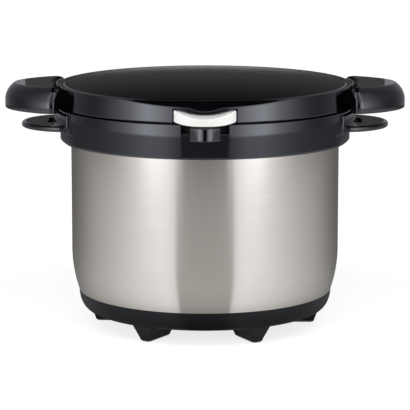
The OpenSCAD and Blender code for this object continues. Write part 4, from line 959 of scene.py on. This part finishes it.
def glow_by_bearing(name, steps, high=None, falls=None, cool=1.0):
    """A glowing surface whose brightness goes by steps of (degrees from the front, brightness), the same on
    both sides. Bearings are taken from half a radius before the axis, where a round mirror gathers
    them. From 0.2 to 0.5 m up, the steps pass into those of high. Falls are steps of (metres from the
    axis, share) that paint the cooker's own shadow into the glow. The light is a little blue, as lamps
    behind silk are, and its dim parts are so by the share cool."""
    material, tree = new_material(name)
    place = add(tree, "ShaderNodeTexCoord").outputs["Object"]
    spot = add(tree, "ShaderNodeSeparateXYZ", {"Vector": place}).outputs
    ahead = add(tree, "ShaderNodeMath", {0: GATHER_Y, 1: spot["Y"]}, operation="SUBTRACT").outputs[0]
    aside = add(tree, "ShaderNodeMath", {0: spot["X"]}, operation="ABSOLUTE").outputs[0]
    angle = add(tree, "ShaderNodeMath", {0: aside, 1: ahead}, operation="ARCTAN2").outputs[0]
    share = add(tree, "ShaderNodeMath", {0: angle, 1: math.pi}, operation="DIVIDE").outputs[0]
    peak = max(bright for _, bright in steps)

    def stepped(fac, marks_at):
        """A ramp of fac through (position, colour) marks."""
        ramp = add(tree, "ShaderNodeValToRGB", {"Fac": fac})
        marks = ramp.color_ramp.elements
        while len(marks) < len(marks_at):
            marks.new(1.0)
        for mark, (position, colour) in zip(marks, marks_at):
            mark.position, mark.color = position, (*colour, 1.0)
        return ramp.outputs["Color"]

    def by_bearing(run):
        """The ramp of one run of bearing steps, as shares of the peak."""
        marks = []
        for degrees, bright in run:
            level = bright / peak
            blue = cool + (1 - cool) * level
            marks.append((degrees / 180, (level * (1 - TINT * blue)).tolist()))
        return stepped(share, marks)

    tone, strength = by_bearing(steps), peak
    if high:
        up = add(tree, "ShaderNodeMapRange", {"Value": spot["Z"], "From Min": UP_FROM, "From Max": UP_TO})
        tone = add(tree, "ShaderNodeMix", {0: up.outputs["Result"], 6: tone, 7: by_bearing(high)},
                   data_type="RGBA").outputs[2]
    if falls:
        far = add(tree, "ShaderNodeVectorMath", {0: place}, operation="LENGTH").outputs["Value"]
        held = stepped(far, [(metres, (part,) * 3) for metres, part in falls])
        strength = add(tree, "ShaderNodeMath", {0: held, 1: peak}, operation="MULTIPLY").outputs[0]
    lit = add(tree, "ShaderNodeEmission", {"Color": tone, "Strength": strength})
    add(tree, "ShaderNodeOutputMaterial", {"Surface": lit.outputs[0]})
    print(f"{name}: peak {peak} in {len(steps)} steps")
    return material


print("bearings are taken from", GATHER_Y, "m")

# %% Paper floor
WIDE = 40.0  # half the paper, in metres
OWN_NEAR, OWN_FAR = 0.78, 1.0  # the paper's own light by the cooker and far from it
paper, tree = new_material("white_paper")
path = add(tree, "ShaderNodeLightPath").outputs
seen = add(tree, "ShaderNodeMath", {0: path["Is Camera Ray"], 1: path["Is Glossy Ray"]}, operation="MAXIMUM")
seen = add(tree, "ShaderNodeMath", {0: seen.outputs[0], 1: path["Is Transmission Ray"]}, operation="MAXIMUM")
place = add(tree, "ShaderNodeTexCoord").outputs["Object"]
far = add(tree, "ShaderNodeVectorMath", {0: place}, operation="LENGTH")
own = add(tree, "ShaderNodeMapRange", {
    "Value": far.outputs["Value"], "From Min": 0.25, "From Max": 0.9, "To Min": OWN_NEAR, "To Max": OWN_FAR})
own = add(tree, "ShaderNodeMath", {0: seen.outputs[0], 1: own.outputs["Result"]}, operation="MULTIPLY")
glow = add(tree, "ShaderNodeEmission", {"Color": linear("#ffffff"), "Strength": own.outputs[0]})
matt = add(tree, "ShaderNodeBsdfDiffuse", {"Color": linear("#bfbcb3")})
both = add(tree, "ShaderNodeAddShader", {0: glow.outputs[0], 1: matt.outputs[0]})
add(tree, "ShaderNodeOutputMaterial", {"Surface": both.outputs[0]})
stage_piece("paper_floor", [(-WIDE, -WIDE, 0), (WIDE, -WIDE, 0), (WIDE, WIDE, 0), (-WIDE, WIDE, 0)],
            [(0, 1, 2, 3)], paper)

# %% Silk dome
silk = glow_by_bearing("lit_silk", [
    (0, 0.01), (8, 0.01), (10, 0.24), (17.5, 0.24), (19.5, 1.4), (23, 1.9), (27, 2.4), (33, 3.3), (40, 4.1),
    (45, 4.4), (50, 3.7), (58, 2.2), (69, 1.2), (79, 0.6), (88, 0.32), (96, 0.24), (110, 0.3), (130, 0.38),
    (168, 0.4)], high=[
    (0, 0.65), (19, 0.9), (30, 1.9), (43, 2.5), (56, 1.6), (66, 0.95), (85, 0.42), (105, 0.3), (130, 0.38),
    (168, 0.4)])
silk_profile = [(0.95, 0.06), (0.95, 0.5), (0.94, 0.8), (0.88, 1.1), (0.76, 1.34), (0.6, 1.48)]
silk_grid = dome_grid(silk_profile, np.linspace(-166, 166, 167))
stage_piece("silk_dome", *silk_grid, silk, camera=False, shadow=False)

# %% Table plate
TABLE_Z, TABLE_MID, TABLE_END = 0.002, 1.12, 2.4  # metres
mirror_only = {"camera": False, "diffuse": False, "shadow": False, "transmission": False}
all_round = np.linspace(-180, 180, 145)
# painted reflection: this glowing plate stands in for the lit table top, and its falls paint the cooker's own
# shadow into it; the far plate is a painted reflection in the same way
table = glow_by_bearing("painted_table_reflection", [
    (0, 0.74), (23.5, 0.74), (25.5, 1.5), (29, 1.6), (35, 1.7), (44, 1.6), (54, 1.5), (64, 1.33), (74, 1.18),
    (85, 1.0), (98, 0.82), (112, 0.59), (130, 0.31), (146, 0.18), (180, 0.1)],
    falls=[(0.0, 0.2), (0.1, 0.2), (0.155, 0.92), (0.21, 1.0), (1.0, 1.0)], cool=0.0)
table_end = glow_by_bearing("painted_table_end_reflection", [
    (0, 0.19), (17, 0.19), (19, 0.6), (22, 0.8), (32, 1.4), (44, 1.5), (54, 1.15), (66, 0.8), (76, 0.55),
    (85, 0.45), (93, 0.36), (112, 0.22), (140, 0.15), (180, 0.12)])
for name, radii, material in (
        ("near_table", (0.0005, 0.4, TABLE_MID), table),
        ("far_table", (TABLE_MID, 1.6, TABLE_END), table_end)):
    stage_piece(name, *dome_grid([(r, TABLE_Z) for r in radii], all_round), material, **mirror_only)

# %% Overhead lamp and room
LAMP_LEVEL, LAMP_AT, LAMP_X, LAMP_Y = 0.42, (0.0, -1.5, 2.2), 2.0, 1.6
lamp = bpy.data.lights.new("overhead_box", "AREA")
lamp.shape, lamp.size, lamp.size_y = "RECTANGLE", LAMP_X, LAMP_Y
lamp.energy = LAMP_LEVEL * math.pi * LAMP_X * LAMP_Y
overhead = bpy.data.objects.new("overhead_box", lamp)
overhead.location = LAMP_AT
bpy.context.scene.collection.objects.link(overhead)
room = bpy.data.worlds.new("dim_room")
room.use_nodes = True
bpy.context.scene.world = room
tree = room.node_tree
way_up = add(tree, "ShaderNodeSeparateXYZ", {"Vector": add(tree, "ShaderNodeTexCoord").outputs["Generated"]})
fade = add(tree, "ShaderNodeMapRange", {
    "Value": way_up.outputs["Z"], "From Min": 0.12, "From Max": 0.3, "To Min": 0.09, "To Max": 0.005})
background = tree.nodes["Background"].inputs
tree.links.new(fade.outputs["Result"], background["Strength"])
background["Color"].default_value = linear("#ffffff")
bpy.context.scene.view_settings.view_transform = "Standard"
print("lit by:", silk.name, overhead.name, room.name)
